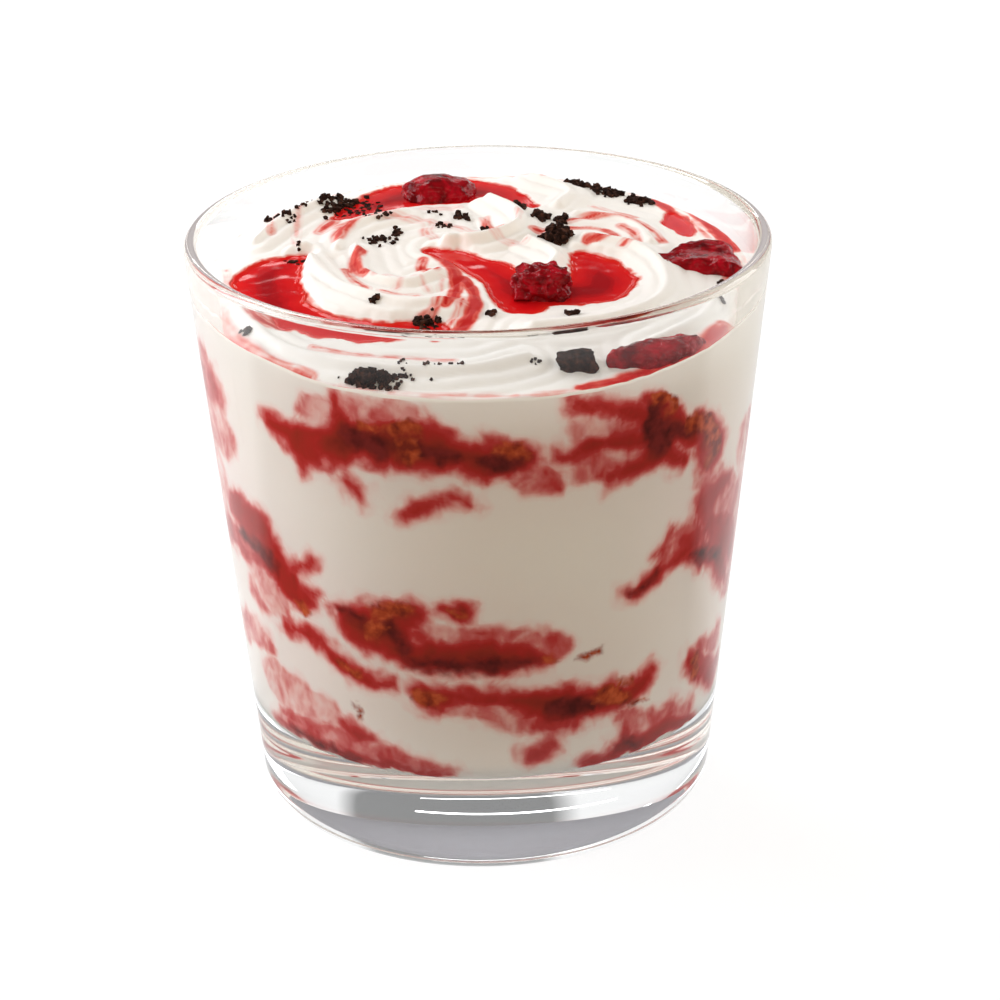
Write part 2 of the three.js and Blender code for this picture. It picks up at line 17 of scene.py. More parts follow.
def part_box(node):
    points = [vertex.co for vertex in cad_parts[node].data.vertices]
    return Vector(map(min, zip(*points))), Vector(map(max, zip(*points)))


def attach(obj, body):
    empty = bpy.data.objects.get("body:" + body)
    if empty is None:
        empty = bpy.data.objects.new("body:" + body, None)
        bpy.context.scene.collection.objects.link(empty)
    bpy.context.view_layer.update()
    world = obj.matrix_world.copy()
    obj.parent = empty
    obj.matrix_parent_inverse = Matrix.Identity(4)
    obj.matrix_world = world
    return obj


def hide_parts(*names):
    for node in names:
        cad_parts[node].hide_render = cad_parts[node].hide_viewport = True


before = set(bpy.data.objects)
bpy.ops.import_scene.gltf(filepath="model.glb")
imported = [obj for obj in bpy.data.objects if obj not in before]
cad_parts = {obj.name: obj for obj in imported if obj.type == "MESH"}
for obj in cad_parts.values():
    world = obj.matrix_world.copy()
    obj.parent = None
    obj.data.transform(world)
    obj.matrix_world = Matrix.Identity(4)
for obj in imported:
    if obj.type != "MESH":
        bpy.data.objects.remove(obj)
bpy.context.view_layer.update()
MM = 0.001

# %% [markdown]
# ## The tumbler's measures
# The outside is a cone with a rounded foot and lip, and the inside a steeper cone with a rounded
# corner, over a thick base. Everything in the glass is fitted to these two surfaces.

# %% Measures of the glass
GLASS_HEIGHT = 93.0
RIM_RADIUS = 45.1
FOOT_RADIUS = 35.5
FOOT_ROUNDING = 6.0
FOOT_RING_INSIDE = 24.0
PUNT_DEPTH = 0.8
PUNT_SLOPE = 2.0
FLOOR_HEIGHT = 16.5
FLOOR_ROUNDING = 4.0
WALL_AT_FLOOR = 3.4
WALL_AT_RIM = 2.3


def outer_radius(z):
    """Radius of the outside at a height."""
    return FOOT_RADIUS + (RIM_RADIUS - FOOT_RADIUS) * z / GLASS_HEIGHT


def hollow_radius(z):
    """Radius of the inside at a height, or at an array of heights, with its corner at the floor."""
    share = (z - FLOOR_HEIGHT) / (GLASS_HEIGHT - FLOOR_HEIGHT)
    straight = outer_radius(z) - (WALL_AT_FLOOR + (WALL_AT_RIM - WALL_AT_FLOOR) * share)
    below = np.clip(FLOOR_HEIGHT + FLOOR_ROUNDING - z, 0, FLOOR_ROUNDING)
    return straight - FLOOR_ROUNDING + np.sqrt(FLOOR_ROUNDING**2 - below**2)


print("inside radius at the rim", round(float(hollow_radius(GLASS_HEIGHT)), 2), "mm")

# %% [markdown]
# ## Small tools
# A turned piece starts as one vertex that is extruded along its profile and spun round the axis, as
# on a lathe. After that its vertices can be pushed about in code, as a sculptor would.


# %% Tools for turning and shaping
def deselect():
    """Operators act on all that is selected, so each piece starts from nothing selected."""
    bpy.ops.object.select_all(action="DESELECT")


def named(name):
    """Names the active object and its mesh."""
    piece = bpy.context.object
    piece.name = name
    piece.data.name = name
    return piece


def lathe(name, profile, steps):
    """Spins a profile of (radius, height) points round the axis into a closed mesh."""
    deselect()
    bpy.ops.mesh.primitive_plane_add(size=MM)
    piece = named(name)
    bpy.ops.object.mode_set(mode="EDIT")
    bpy.ops.mesh.merge(type="CENTER")
    bpy.ops.transform.translate(value=(profile[0][0] * MM, 0, profile[0][1] * MM))
    for (r0, z0), (r1, z1) in zip(profile, profile[1:]):
        step = ((r1 - r0) * MM, 0, (z1 - z0) * MM)
        bpy.ops.mesh.extrude_region_move(TRANSFORM_OT_translate={"value": step})
    bpy.ops.mesh.select_all(action="SELECT")
    bpy.ops.mesh.spin(steps=steps, angle=math.tau, center=(0, 0, 0), axis=(0, 0, 1))
    bpy.ops.mesh.select_all(action="SELECT")
    bpy.ops.mesh.remove_doubles(threshold=0.004 * MM)
    bpy.ops.mesh.normals_make_consistent(inside=False)
    bpy.ops.object.mode_set(mode="OBJECT")
    bpy.ops.object.shade_smooth()
    return piece


def points_of(piece):
    """A mesh's vertices in millimetres, as an array."""
    flat = np.empty(len(piece.data.vertices) * 3)
    piece.data.vertices.foreach_get("co", flat)
    return flat.reshape(-1, 3) / MM


def move_points(piece, points):
    """Puts the vertices where the array says."""
    piece.data.vertices.foreach_set("co", (points * MM).ravel())
    piece.data.update()


def keep_value(piece, name, values):
    """Stores a number at each vertex, for a material to read."""
    layer = piece.data.attributes.new(name, "FLOAT", "POINT")
    layer.data.foreach_set("value", np.asarray(values, dtype=np.float32))


def rough(points, size, octaves=3, seed=0.0):
    """Smooth random values from about -1 to 1, with lumps of the given size in millimetres."""
    shift = Vector((seed, 2.3 * seed, 0.7 * seed))
    return np.array([noise.fractal(Vector(p) / size + shift, 1.0, 2.0, octaves) for p in points])


def smooth_step(t):
    """0 to 1 with soft ends."""
    t = np.clip(t, 0, 1)
    return t * t * (3 - 2 * t)


def arc(centre, radius, start, end, steps):
    """Points along a circle's arc, angles in degrees."""
    turns = np.radians(np.linspace(start, end, steps + 1))
    return [(centre[0] + radius * math.cos(t), centre[1] + radius * math.sin(t)) for t in turns]


print("tools ready")

# %% [markdown]
# ## Materials
# A material is a small network of nodes. One function adds a node, sets it and links its inputs, and
# one turns the hex colours that a paint chart gives into the linear values that light adds up in.


# %% Tools for materials
def linear(hex_colour):
    """An sRGB hex colour as linear red, green, blue and full alpha."""
    parts = [int(hex_colour[i : i + 2], 16) / 255 for i in (1, 3, 5)]
    return tuple(p / 12.92 if p <= 0.04045 else ((p + 0.055) / 1.055) ** 2.4 for p in parts) + (1.0,)


def add_node(look, kind, inputs=None, stops=None, **settings):
    """Adds a node to a material or world: its settings, then its inputs, then its colour stops.

    An input is a number or colour, another node's socket, or a node, which gives its first output.
    """
    tree = look.node_tree
    made = tree.nodes.new("ShaderNode" + kind)
    for setting, value in settings.items():
        setattr(made, setting, value)
    for socket, value in (inputs or {}).items():
        if isinstance(value, bpy.types.Node):
            value = value.outputs[0]
        if isinstance(value, bpy.types.NodeSocket):
            tree.links.new(value, made.inputs[socket])
        else:
            made.inputs[socket].default_value = value
    if stops:
        ramp = made.color_ramp
        for _ in stops[2:]:
            ramp.elements.new(0.5)
        for element, (place, colour) in zip(ramp.elements, stops):
            element.position = place
            element.color = linear(colour) if isinstance(colour, str) else (colour,) * 3 + (1.0,)
    return made


def new_look(name):
    """An empty material with nodes."""
    look = bpy.data.materials.new(name)
    look.use_nodes = True
    look.node_tree.nodes.clear()
    return look


def finish_look(look, surface):
    """Links a shader to the material's output."""
    add_node(look, "OutputMaterial", {"Surface": surface})
    print("material:", look.name)


# %% [markdown]
# ## The glass
# Pressed soda-lime glass is clear with a trace of grey, and its polished faces bend light by 1.52.
# Light from a lamp would take long to find its way through it, so for shadows alone the glass counts
# as clear. The tumbler is one lathe profile: foot ring, wall, round lip, inside wall, floor.

# %% Turn the tumbler
GLASS_STEPS = 192
lip = WALL_AT_RIM / 2
lip_height = GLASS_HEIGHT - lip
corner_height = FLOOR_HEIGHT + FLOOR_ROUNDING
corner_radius = float(hollow_radius(corner_height)) - FLOOR_ROUNDING
glass_profile = [
    (0, PUNT_DEPTH),
    (FOOT_RING_INSIDE - PUNT_SLOPE, PUNT_DEPTH),
    (FOOT_RING_INSIDE - PUNT_SLOPE / 2, PUNT_DEPTH / 2),
    (FOOT_RING_INSIDE, 0),
    *arc((outer_radius(FOOT_ROUNDING) - FOOT_ROUNDING, FOOT_ROUNDING), FOOT_ROUNDING, -90, 0, 12),
    *arc((outer_radius(lip_height) - lip, lip_height), lip, 0, 180, 16),
    *arc((corner_radius, corner_height), FLOOR_ROUNDING, 0, -90, 10),
    (0, FLOOR_HEIGHT),
]
glass = lathe("tumbler", glass_profile, GLASS_STEPS)
print("tumbler:", len(glass.data.polygons), "faces")

# %% The glass's material
# Past this many bounces inside the glass, a painted glow, an even pale emission, stands in for light.
PIPED_BOUNCES = 8
glass_look = new_look("pressed soda-lime glass")
glass_body = add_node(
    glass_look, "BsdfPrincipled",
    {"Base Color": linear("#FBFCFC"), "Roughness": 0.0, "IOR": 1.52, "Transmission Weight": 1.0},
)
for_lamps = add_node(glass_look, "BsdfTransparent", {"Color": linear("#F7F8F8")})
ray = add_node(glass_look, "LightPath")
# Painted glow: a pale emission for rays that have bounced too often inside the glass.
painted_glow = add_node(glass_look, "Emission", {"Color": linear("#E4DAD8"), "Strength": 0.85})
piped = add_node(
    glass_look, "Math", {0: ray.outputs["Ray Depth"], 1: PIPED_BOUNCES}, operation="GREATER_THAN"
)
glass_seen = add_node(glass_look, "MixShader", {0: piped, 1: glass_body, 2: painted_glow})
glass_mix = add_node(
    glass_look, "MixShader", {0: ray.outputs["Is Shadow Ray"], 1: glass_seen, 2: for_lamps}
)
finish_look(glass_look, glass_mix)
glass.data.materials.append(glass_look)

# %% [markdown]
# ## Strokes
# A spoon, a drizzle and a smear all leave a stroke: a line with a width that changes along it. Each
# is a few points, [x, y, half width], joined by a smooth curve and measured along short straight
# stretches of it. How far inside a stroke a place is then gives ridges, the shores of pools, and where
# the sauce has stained the cream.

# %% Measure places against strokes
STROKE_STEPS = 6
SLIMMEST = 0.15
FAR = 99.0


def sampled(path):
    """Points along the smooth curve through a stroke's points, half width included."""
    knots = np.array(path, dtype=float)
    knots = np.vstack([2 * knots[0] - knots[1], knots, 2 * knots[-1] - knots[-2]])
    t = np.arange(STROKE_STEPS)[:, None] / STROKE_STEPS
    parts = []
    for a, b, c, d in zip(knots, knots[1:], knots[2:], knots[3:]):
        bend = (2 * a - 5 * b + 4 * c - d) * t + (3 * b - a - 3 * c + d) * t * t
        parts.append(b + 0.5 * t * ((c - a) + bend))
    curve = np.vstack([*parts, knots[-2][None]])
    curve[:, 2] = np.maximum(curve[:, 2], SLIMMEST)
    return curve


def stretches(path, x, y):
    """For each short stretch of a stroke, how far away each place is, and the half width there."""
    curve = sampled(path)
    for (ax, ay, a_half), (bx, by, b_half) in zip(curve, curve[1:]):
        dx, dy = bx - ax, by - ay
        share = np.clip(((x - ax) * dx + (y - ay) * dy) / (dx * dx + dy * dy + 1e-9), 0, 1)
        away = np.hypot(x - ax - share * dx, y - ay - share * dy)
        yield away, a_half + (b_half - a_half) * share


def inside_by(path, x, y):
    """How many half widths inside a stroke each place is: 1 on its line, 0 at its edge."""
    best = np.full(len(x), -FAR)
    for away, half in stretches(path, x, y):
        best = np.maximum(best, 1 - away / half)
    return best


def depth_in(path, x, y):
    """How many millimetres inside a stroke each place is, below 0 outside it."""
    best = np.full(len(x), -FAR)
    for away, half in stretches(path, x, y):
        best = np.maximum(best, half - away)
    return best


def line_distance(paths, x, y):
    """How many millimetres each place is from the line of the nearest stroke."""
    nearest = np.full(len(x), FAR)
    for path in paths:
        for away, _ in stretches(path, x, y):
            nearest = np.minimum(nearest, away)
    return nearest


def plan_noise(x, y, size, octaves, seed):
    """Smooth random values over the plan, with lumps of the given size in millimetres."""
    return rough(np.column_stack([x, y, 0 * x]), size, octaves, seed)


print("strokes ready")

# %% [markdown]
# ## The cream's top
# The top is a low dome, a little higher at the back. The swirl's ridges stand 1 to 2 mm proud, each
# with finer folds beside it where the spoon's edge dragged, and the sauce lies in shallow troughs.

# %% The swirl and the pools as strokes
FILL_HEIGHT = 85.6
FILL_DOME = 1.5
FILL_TILT = 0.06
FILL_RADIUS = 42.0
# Each ridge: its height, and its stroke.
RIDGES = [
    (1.9, [[-27, 9, 2.6], [-25, 0, 3.6], [-20, -9, 4.2], [-12, -15, 3.8], [-5, -15, 2.4]]),
    (2.2, [[2, 27, 2.4], [6, 21, 2.6], [6, 14, 2.4], [1, 9.5, 2.0], [-5, 9, 1.6]]),
    (1.6, [[8, 9, 2.0], [12, 3, 2.3], [11, -2, 1.5]]),
    (1.8, [[17, 10, 2.5], [25, 6, 3.0], [28.5, -4, 3.2], [27, -14, 3.4], [19, -20.5, 3.2],
           [8, -23, 2.6]]),
    (1.4, [[-19, 8, 2.2], [-17, -3, 2.4], [-11, -7, 2.2], [-6, -3, 1.8]]),
    (1.5, [[9, 39, 2.8], [15, 32, 2.8], [13, 25.5, 2.2]]),
    (1.4, [[-12, 23, 2.8], [-20, 17, 2.8], [-22, 8, 2.4]]),
    (1.5, [[-35, 13, 2.4], [-31, 22, 3.0], [-25, 30, 2.4]]),
    (1.0, [[16, 22, 2.0], [24, 19, 2.4], [27, 10, 2.2]]),
    (1.2, [[38, -10, 2.6], [33, -20, 3.0], [24, -28, 2.6]]),
    (1.3, [[-36, -16, 2.4], [-28, -27, 3.0], [-17, -33, 2.6], [-3, -35, 2.4], [7, -32, 2.0]]),
]
POOLS = {
    "sauce_pool_left": [
        [[-27.5, 6.5, 1.6], [-32, 2, 4.6], [-32, -6, 5.4], [-29.5, -13, 4.6], [-23, -20, 3.9],
         [-14, -22.5, 3.6], [-7.5, -21.5, 2.8]],
    ],
    "sauce_pool_back": [
        [[-22, 24, 1.4], [-17, 29, 4.0], [-10, 34, 5.6], [-1, 35, 5.6], [5, 31.5, 2.8], [9, 27, 0.8]],
    ],
    "sauce_pool_centre": [
        [[-7, 7.5, 1.4], [-2, 3.5, 2.6], [3, -2.5, 3.8], [6.5, -9, 5.0], [7, -14, 3.4]],
        [[16, 5, 2.0], [18.5, -1, 4.6], [17.5, -7.5, 5.6], [9, -10, 4.4]],
    ],
    "sauce_streak_right": [
        [[31, 24, 1.0], [31.8, 20, 2.2], [33, 15.5, 1.4]],
    ],
}
TROUGH = 0.9
TROUGH_LEAD = 0.4
BANK = 1.6
CREST_SHARPNESS = 1.35
FOLD_HEIGHT = 0.8
FOLD_SPACING = 2.6
FOLD_FADE = 8.0
FOLD_MEAN = 0.64
FOLD_UNEVEN = 0.45
FOLD_SWAY = 0.6
GRAIN = 0.06
FRONT_DIP = 1.1
DIP_START = 14.0
DIP_LENGTH = 26.0
# Patterns of noise: size in mm, octaves and seed.
SHORE_WANDER = [(0.8, (4.5, 2, 11.0)), (0.28, (1.7, 2, 14.0))]
UNEVEN_PATTERN = (9.0, 2, 5.0)
SWAY_PATTERN = (6.0, 2, 8.0)
GRAIN_PATTERN = (1.8, 2, 2.0)


def level_at(x, y):
    """The dome alone, which sinks a little towards the front of the glass."""
    dome = FILL_DOME * (1 - (x * x + y * y) / FILL_RADIUS**2)
    dip = FRONT_DIP * smooth_step((-y - DIP_START) / DIP_LENGTH)
    return FILL_HEIGHT + FILL_TILT * y + dome - dip


def inside_pool(paths, x, y):
    """How many millimetres inside a pool each place is, with shores that wander."""
    wander = sum(reach * plan_noise(x, y, *pattern) for reach, pattern in SHORE_WANDER)
    return np.max([depth_in(path, x, y) for path in paths], axis=0) + wander


def inside_any_pool(x, y):
    """The same for whichever pool is nearest."""
    return np.max([inside_pool(paths, x, y) for paths in POOLS.values()], axis=0)


def top_height(x, y):
    """Height of the swirled top: dome, ridges, spoon folds beside them, and troughs for the sauce."""
    ridges = np.zeros(len(x))
    for height, path in RIDGES:
        away = 1 - inside_by(path, x, y)
        ridges = np.maximum(ridges, height * np.exp(-(away**CREST_SHARPNESS)))
    away = line_distance([path for _, path in RIDGES], x, y)
    uneven = 1 - FOLD_UNEVEN + FOLD_UNEVEN * plan_noise(x, y, *UNEVEN_PATTERN)
    turn = np.pi * away / FOLD_SPACING + FOLD_SWAY * plan_noise(x, y, *SWAY_PATTERN)
    folds = FOLD_HEIGHT * uneven * (np.abs(np.cos(turn)) - FOLD_MEAN) * np.exp(-away / FOLD_FADE)
    grain = GRAIN * plan_noise(x, y, *GRAIN_PATTERN)
    pool = inside_any_pool(x, y)
    dry = 1 - smooth_step((pool + BANK) / BANK)
    trough = TROUGH * smooth_step((pool + TROUGH_LEAD) / BANK)
    return level_at(x, y) + (ridges + folds + grain) * dry - trough


print("swirl:", len(RIDGES), "ridges,", len(POOLS), "pools")

# %% [markdown]
# ## Sauce against the glass
# Where the filling machine let sauce run down the glass, it shows as bands: ragged blots with a pink
# rim, dark cores and bits of soaked biscuit. On the unrolled wall they are strokes again, with an angle
# in degrees, a height and a half width. 0 degrees is the front, and angles grow to the right. Thick
# sauce reaches its full red; a thin smear stops at a depth of its own, and stays pinker.

# %% The bands as strokes on the wall
THICK = 9.0
# Each line: how deep the sauce gets there in mm, and the stroke.
BLOTS = [
    # upper band, left to right
    (-0.5, [[-88, 72, 5.0], [-80, 73.5, 5.0], [-74, 73.5, 3.8], [-69, 73.3, 2.0]]),
    (0.3, [[-82, 73, 2.2], [-76, 72.6, 2.0], [-71, 73.2, 1.0]]),
    (1.3, [[-49, 73.2, 0.8], [-43, 72.7, 1.5], [-38, 71.6, 3.0], [-33, 72, 3.6]]),
    (THICK, [[-33, 72, 3.4], [-28, 74.2, 3.4], [-22, 74.2, 3.2], [-16, 74.2, 3.8], [-11, 74, 3.6],
             [-6, 72.7, 2.6], [-1, 72.6, 2.9], [4, 71.9, 2.8], [8.5, 72, 2.0]]),
    (THICK, [[-30, 80.9, 0.4], [-29.5, 78.5, 1.0], [-28, 76.5, 1.9]]),
    (0.6, [[-38, 70.4, 1.6], [-39.5, 68.2, 1.0]]),
    (THICK, [[18.5, 80.6, 0.8], [23, 79, 1.0], [28, 77.8, 1.1], [33, 76.3, 1.3], [37, 75, 2.0]]),
    (THICK, [[16, 72, 0.8], [19, 71.7, 1.2], [23, 72.7, 1.2], [28, 72.8, 1.3], [34, 72.3, 1.8]]),
    (THICK, [[36.5, 77, 1.8], [38.5, 73.5, 3.4], [39, 70.5, 3.0], [36, 68.3, 1.6], [31, 67.6, 1.2],
             [27, 67.4, 0.8]]),
    (THICK, [[41, 73.2, 2.4], [46, 71.2, 2.2], [51, 70, 2.8], [56, 67.6, 2.8], [59, 65, 2.0],
             [55, 63.6, 1.4]]),
    (THICK, [[42, 68.2, 1.6], [46, 67, 1.4]]),
    (0.6, [[-29, 67.2, 0.5], [-27, 65.9, 0.9], [-25.5, 64.3, 0.5]]),
    (0.4, [[-16, 62.8, 0.6], [-9, 65.2, 0.8], [-3, 65.3, 0.6]]),
    # middle band
    (1.1, [[-72, 53.5, 1.6], [-67, 53.8, 2.8], [-61, 52.8, 4.0], [-57, 50.6, 3.8], [-52, 48, 2.6],
           [-47, 45.2, 2.6], [-44, 44.8, 1.4]]),
    (0.5, [[-84, 47, 1.6], [-75, 48, 2.0], [-67, 48.6, 2.3], [-60, 48.5, 2.5]]),
    (0.4, [[-50, 48, 1.2], [-45, 50, 0.7], [-40.5, 51.6, 0.4]]),
    (0.5, [[-46, 46.6, 0.9], [-41, 46.2, 0.5]]),
    (THICK, [[-34, 44.6, 0.8], [-31, 43, 2.2], [-27, 42.6, 3.6], [-23, 42.6, 3.8], [-20, 44.6, 2.4],
             [-16, 45.8, 1.6], [-13.5, 45, 0.8]]),
    (THICK, [[-22, 39.6, 2.4], [-16, 38.8, 2.2], [-9, 39, 2.6], [-1, 39, 2.7], [6, 38.6, 2.4],
             [11, 38.3, 1.8], [14.5, 38.1, 0.8]]),
    (0.8, [[-9.5, 47, 0.6], [-6.5, 46.5, 0.9], [-4, 47, 0.5]]),
    (THICK, [[33, 46.6, 0.7], [37, 47, 1.0], [42, 48.2, 1.2], [46, 49.2, 1.0], [51, 49.2, 1.2],
             [56, 48.4, 1.6], [61, 47.2, 2.2], [66, 45, 2.8], [70, 42.4, 2.4], [74, 39.5, 1.4]]),
    (1.0, [[53.5, 57, 1.2], [58, 57.4, 1.7], [64, 57.8, 1.9], [68, 57.5, 1.5]]),
    (1.1, [[56, 56, 1.5], [58.5, 53.6, 1.9], [61, 51.4, 2.0], [65, 50, 2.6], [70, 48, 3.2],
           [76, 45, 3.0]]),
    (0.1, [[43, 51.6, 0.9], [47, 53, 1.5], [52, 54, 1.3]]),
    (0.3, [[44, 50.6, 1.0], [50, 50.8, 1.3], [56, 51, 1.5]]),
    # lower band
    (0.9, [[-53, 38, 0.8], [-46, 38, 1.0], [-40, 37, 0.9], [-36, 35.4, 0.9], [-31, 33.8, 1.2],
           [-26, 33.2, 1.1], [-22, 33.4, 0.7]]),
    (-0.5, [[-80, 30.4, 1.5], [-72, 32.6, 1.8], [-66, 33, 1.2], [-62, 32.4, 0.6]]),
    (0.9, [[-17, 32.4, 0.7], [-14.5, 31.6, 1.7], [-10, 31.4, 1.7], [-6, 32, 1.1], [0, 31.8, 1.2],
           [5, 31.4, 1.7]]),
    (THICK, [[5, 31.4, 1.4], [10, 30.4, 2.2], [16, 29.2, 3.0], [21, 28.8, 3.2], [26, 28.8, 2.6],
             [31, 28.8, 2.2], [36, 28.9, 1.9], [40, 29.8, 1.6], [43, 31.2, 0.9]]),
    (0.3, [[12, 27, 1.3], [18, 26, 1.1], [22, 25.5, 0.7]]),
    (0.9, [[10.5, 20.8, 0.9], [13, 21.8, 1.2], [16, 23, 0.9]]),
    (0.8, [[58, 29.8, 1.0], [61.5, 27.6, 1.9], [65, 26, 2.3], [70, 24, 2.3], [76, 22.5, 2.4]]),
    (0.0, [[62, 30.5, 0.9], [67, 30, 1.2], [73, 29, 1.6]]),
    # at the floor
    (1.4, [[26, 17.6, 0.7], [31, 18.2, 1.2], [36, 19, 2.1], [41, 19, 2.3], [47, 18.8, 2.1],
           [53, 19.2, 1.7], [60, 18, 1.3], [66, 17, 0.8]]),
    (1.0, [[36.5, 22.9, 0.6], [36.8, 21, 1.1]]),
    (-0.2, [[-60, 20, 1.0], [-50, 20.4, 1.3], [-40, 20.4, 1.6], [-30, 19.8, 1.6], [-20, 18.8, 1.2],
            [-10, 17.8, 0.8]]),
    (1.2, [[-35.5, 23.6, 0.8], [-33, 22.8, 1.2], [-29, 22.4, 0.9]]),
    (1.6, [[-64, 18.9, 0.6], [-52, 19, 0.8], [-42, 18.7, 0.9], [-32, 18.1, 0.8], [-22, 17.6, 0.7],
           [-12, 17.2, 0.5]]),
    # thin washes, which only blush
    (-0.7, [[-78, 66, 3.0], [-70, 66, 3.0]]),
    (-1.0, [[-84, 60, 4.5], [-80, 52, 5.0]]),
    (-0.8, [[-62, 42, 2.6], [-54, 41.5, 1.6]]),
    (-0.4, [[10, 69.8, 2.4], [14, 67.8, 1.4]]),
    (-0.4, [[22, 69.4, 1.8], [28, 70.2, 1.8], [34, 69.4, 1.6]]),
    (-0.6, [[22, 75.4, 1.6], [28, 75.0, 1.4]]),
    (-0.3, [[-18, 42.4, 1.2], [-8, 42.4, 1.4], [2, 42, 1.2], [12, 41, 1.4], [18, 40, 0.9]]),
    (-0.4, [[-8, 30.6, 1.3], [2, 29.8, 1.6], [10, 27.6, 1.8]]),
    (-0.9, [[-62, 27, 2.2], [-50, 25, 2.6], [-42, 24, 2.2]]),
    (-0.6, [[56, 62, 2.6], [60, 60, 2.2]]),
    (-0.4, [[66, 56, 3.0], [72, 52, 4.0], [78, 46, 5.0], [80, 40, 4.5]]),
    (-0.8, [[78, 62, 3.5], [84, 56, 4.0]]),
    (-0.3, [[37, 24, 1.2], [41, 21.6, 1.8], [50, 21.6, 1.6], [58, 20.6, 1.4]]),
    (-0.5, [[-36, 77.4, 1.6], [-24, 79, 1.2], [-14, 79, 1.0]]),
]
# Where the sauce is so thick that it looks nearly black.
CORES = [
    [[-28, 75, 1.2], [-25, 74.4, 2.0], [-22, 73.6, 1.9], [-20, 72.8, 1.2]],
    [[-12, 73.5, 1.3], [-9, 72.8, 1.2], [-5, 72.4, 1.0]],
    [[1.5, 72, 1.4], [5, 72, 1.8], [8, 72.2, 1.2]],
    [[36.5, 76, 1.5], [38, 73, 2.7], [39, 70.5, 2.1]],
    [[41, 72.6, 1.3], [46, 71.4, 1.1], [52, 71.2, 1.3]],
    [[-68, 50.5, 1.0], [-62, 49.6, 1.4], [-57, 48.6, 1.4], [-53, 47.6, 1.0]],
    [[-33, 44.4, 0.7], [-29, 44, 1.0]],
    [[-22, 44, 1.0], [-20.5, 42, 1.2], [-19, 39.5, 1.2]],
    [[-18, 37.4, 1.0], [-10, 37.2, 1.2], [0, 37.2, 1.3], [8, 37.4, 1.1], [12, 37.8, 0.7]],
    [[34, 46.7, 0.6], [38, 47.2, 0.7], [42, 48.2, 0.6]],
    [[55, 48, 0.9], [61, 47, 1.3], [66, 45.5, 1.3]],
    [[16, 28.8, 1.4], [20, 28.6, 2.2], [25, 28.8, 1.7], [30, 29, 1.2]],
    [[34, 20, 0.8], [37, 19.6, 1.2], [41, 18.8, 1.0]],
    [[-58, 18.5, 0.6], [-46, 18.4, 0.7], [-34, 17.8, 0.6]],
]
# Bits of soaked biscuit, amber where light comes through them.
BITS = [
    [[-17, 76.6, 1.2], [-14, 77.2, 1.1], [-12.5, 76.6, 0.8]],
    [[-15, 74, 1.4], [-14.5, 72, 1.2]],
    [[-24, 76.8, 0.8], [-21, 76.6, 0.7]],
    [[3.5, 74, 0.9], [7, 73.8, 0.9], [9, 72.6, 0.6]],
    [[37, 78, 1.1], [41, 77, 1.1], [42, 75, 0.8]],
    [[47, 72.6, 1.1], [52, 71.4, 1.6], [57, 68, 2.0], [58, 65.4, 1.6], [56, 63.4, 1.1]],
    [[-24, 45.6, 1.1], [-20, 46.2, 1.1], [-17, 46.4, 0.9]],
    [[-26, 41.6, 1.2], [-24.5, 43, 1.4]],
    [[-8, 47, 0.6], [-5, 46.8, 0.6]],
    [[-15.5, 31.4, 1.3], [-12, 31.4, 1.5]],
    [[-36, 35.2, 0.5], [-31, 33.9, 0.7]],
    [[28, 29.6, 1.4], [32, 28.8, 1.6], [35, 27.6, 1.2]],
    [[34, 31.2, 0.7], [37, 31, 0.5]],
    [[61, 28.6, 1.2], [61.5, 26, 1.4]],
    [[14.5, 37.8, 0.7], [17.5, 37.6, 0.6]],
    [[24, 37.4, 0.8], [27.5, 37.6, 0.6]],
    [[38, 26.6, 0.8], [42, 26.6, 0.6]],
    [[-32.5, 28, 0.5], [-32, 26, 0.5]],
    [[-46, 43, 0.8], [-44.5, 41.8, 0.6]],
]
print("wall:", len(BLOTS), "blots,", len(CORES), "cores,", len(BITS), "bits of biscuit")

# %% [markdown]
# ## Layers through the food
# Each band is the edge of a layer that runs right through. Inside it is a thin sheet, and at the glass
# it swells into lobes. The back of the glass isn't seen in the photo, so its blots follow these lobes.

# %% The four layers
CORE_SHARE = 0.5
CORE_HALF = 0.9
CORE_LIP = 1.2
CORE_WOBBLE = 0.06
CORE_WAVES = 3
LOBE_RAMP = 6.0
LOBE_TIP = 0.02
LOBE_RAGGED = 0.16
LOBE_WAVE = 0.55
# Each layer: its height in the middle, and its lobes. Each lobe: its first and last angle, the height
# at both, its thickness, and how far it bows up.
LAYERS = {
    "sauce_layer_upper": (72.0, [
        (-86, -52, 71.5, 73.5, 13, 0), (-49, 11, 72.5, 72, 9, 2), (16, 64, 73, 65, 9.5, 3),
        (88, 128, 71, 74, 7, 1), (145, 196, 74, 70, 9, 1.5), (216, 258, 70, 72, 7, -1)]),
    "sauce_layer_middle": (45.0, [
        (-84, -40, 49.5, 45, 9.5, 3), (-36, 13, 43.5, 37, 8, -1.5), (32, 84, 46, 42, 15, 7),
        (104, 150, 45, 49, 7, -2), (170, 214, 43, 46, 8, 1), (232, 262, 47, 44, 6, 0)]),
    "sauce_layer_lower": (31.0, [
        (-78, -50, 30.5, 31.5, 5, 1), (-18, 44, 31.5, 30, 6, -1.5), (56, 84, 28, 25, 6, 0),
        (110, 160, 30, 27, 6, 1), (186, 238, 26, 31, 6, 1)]),
    "sauce_layer_floor": (17.7, [
        (-76, -8, 20.5, 19, 5, 0.5), (28, 64, 19, 19.5, 5, 0.5),
        (120, 200, 19, 20, 4.5, 0.5), (222, 256, 20, 19.5, 4.5, 0.3)]),
}


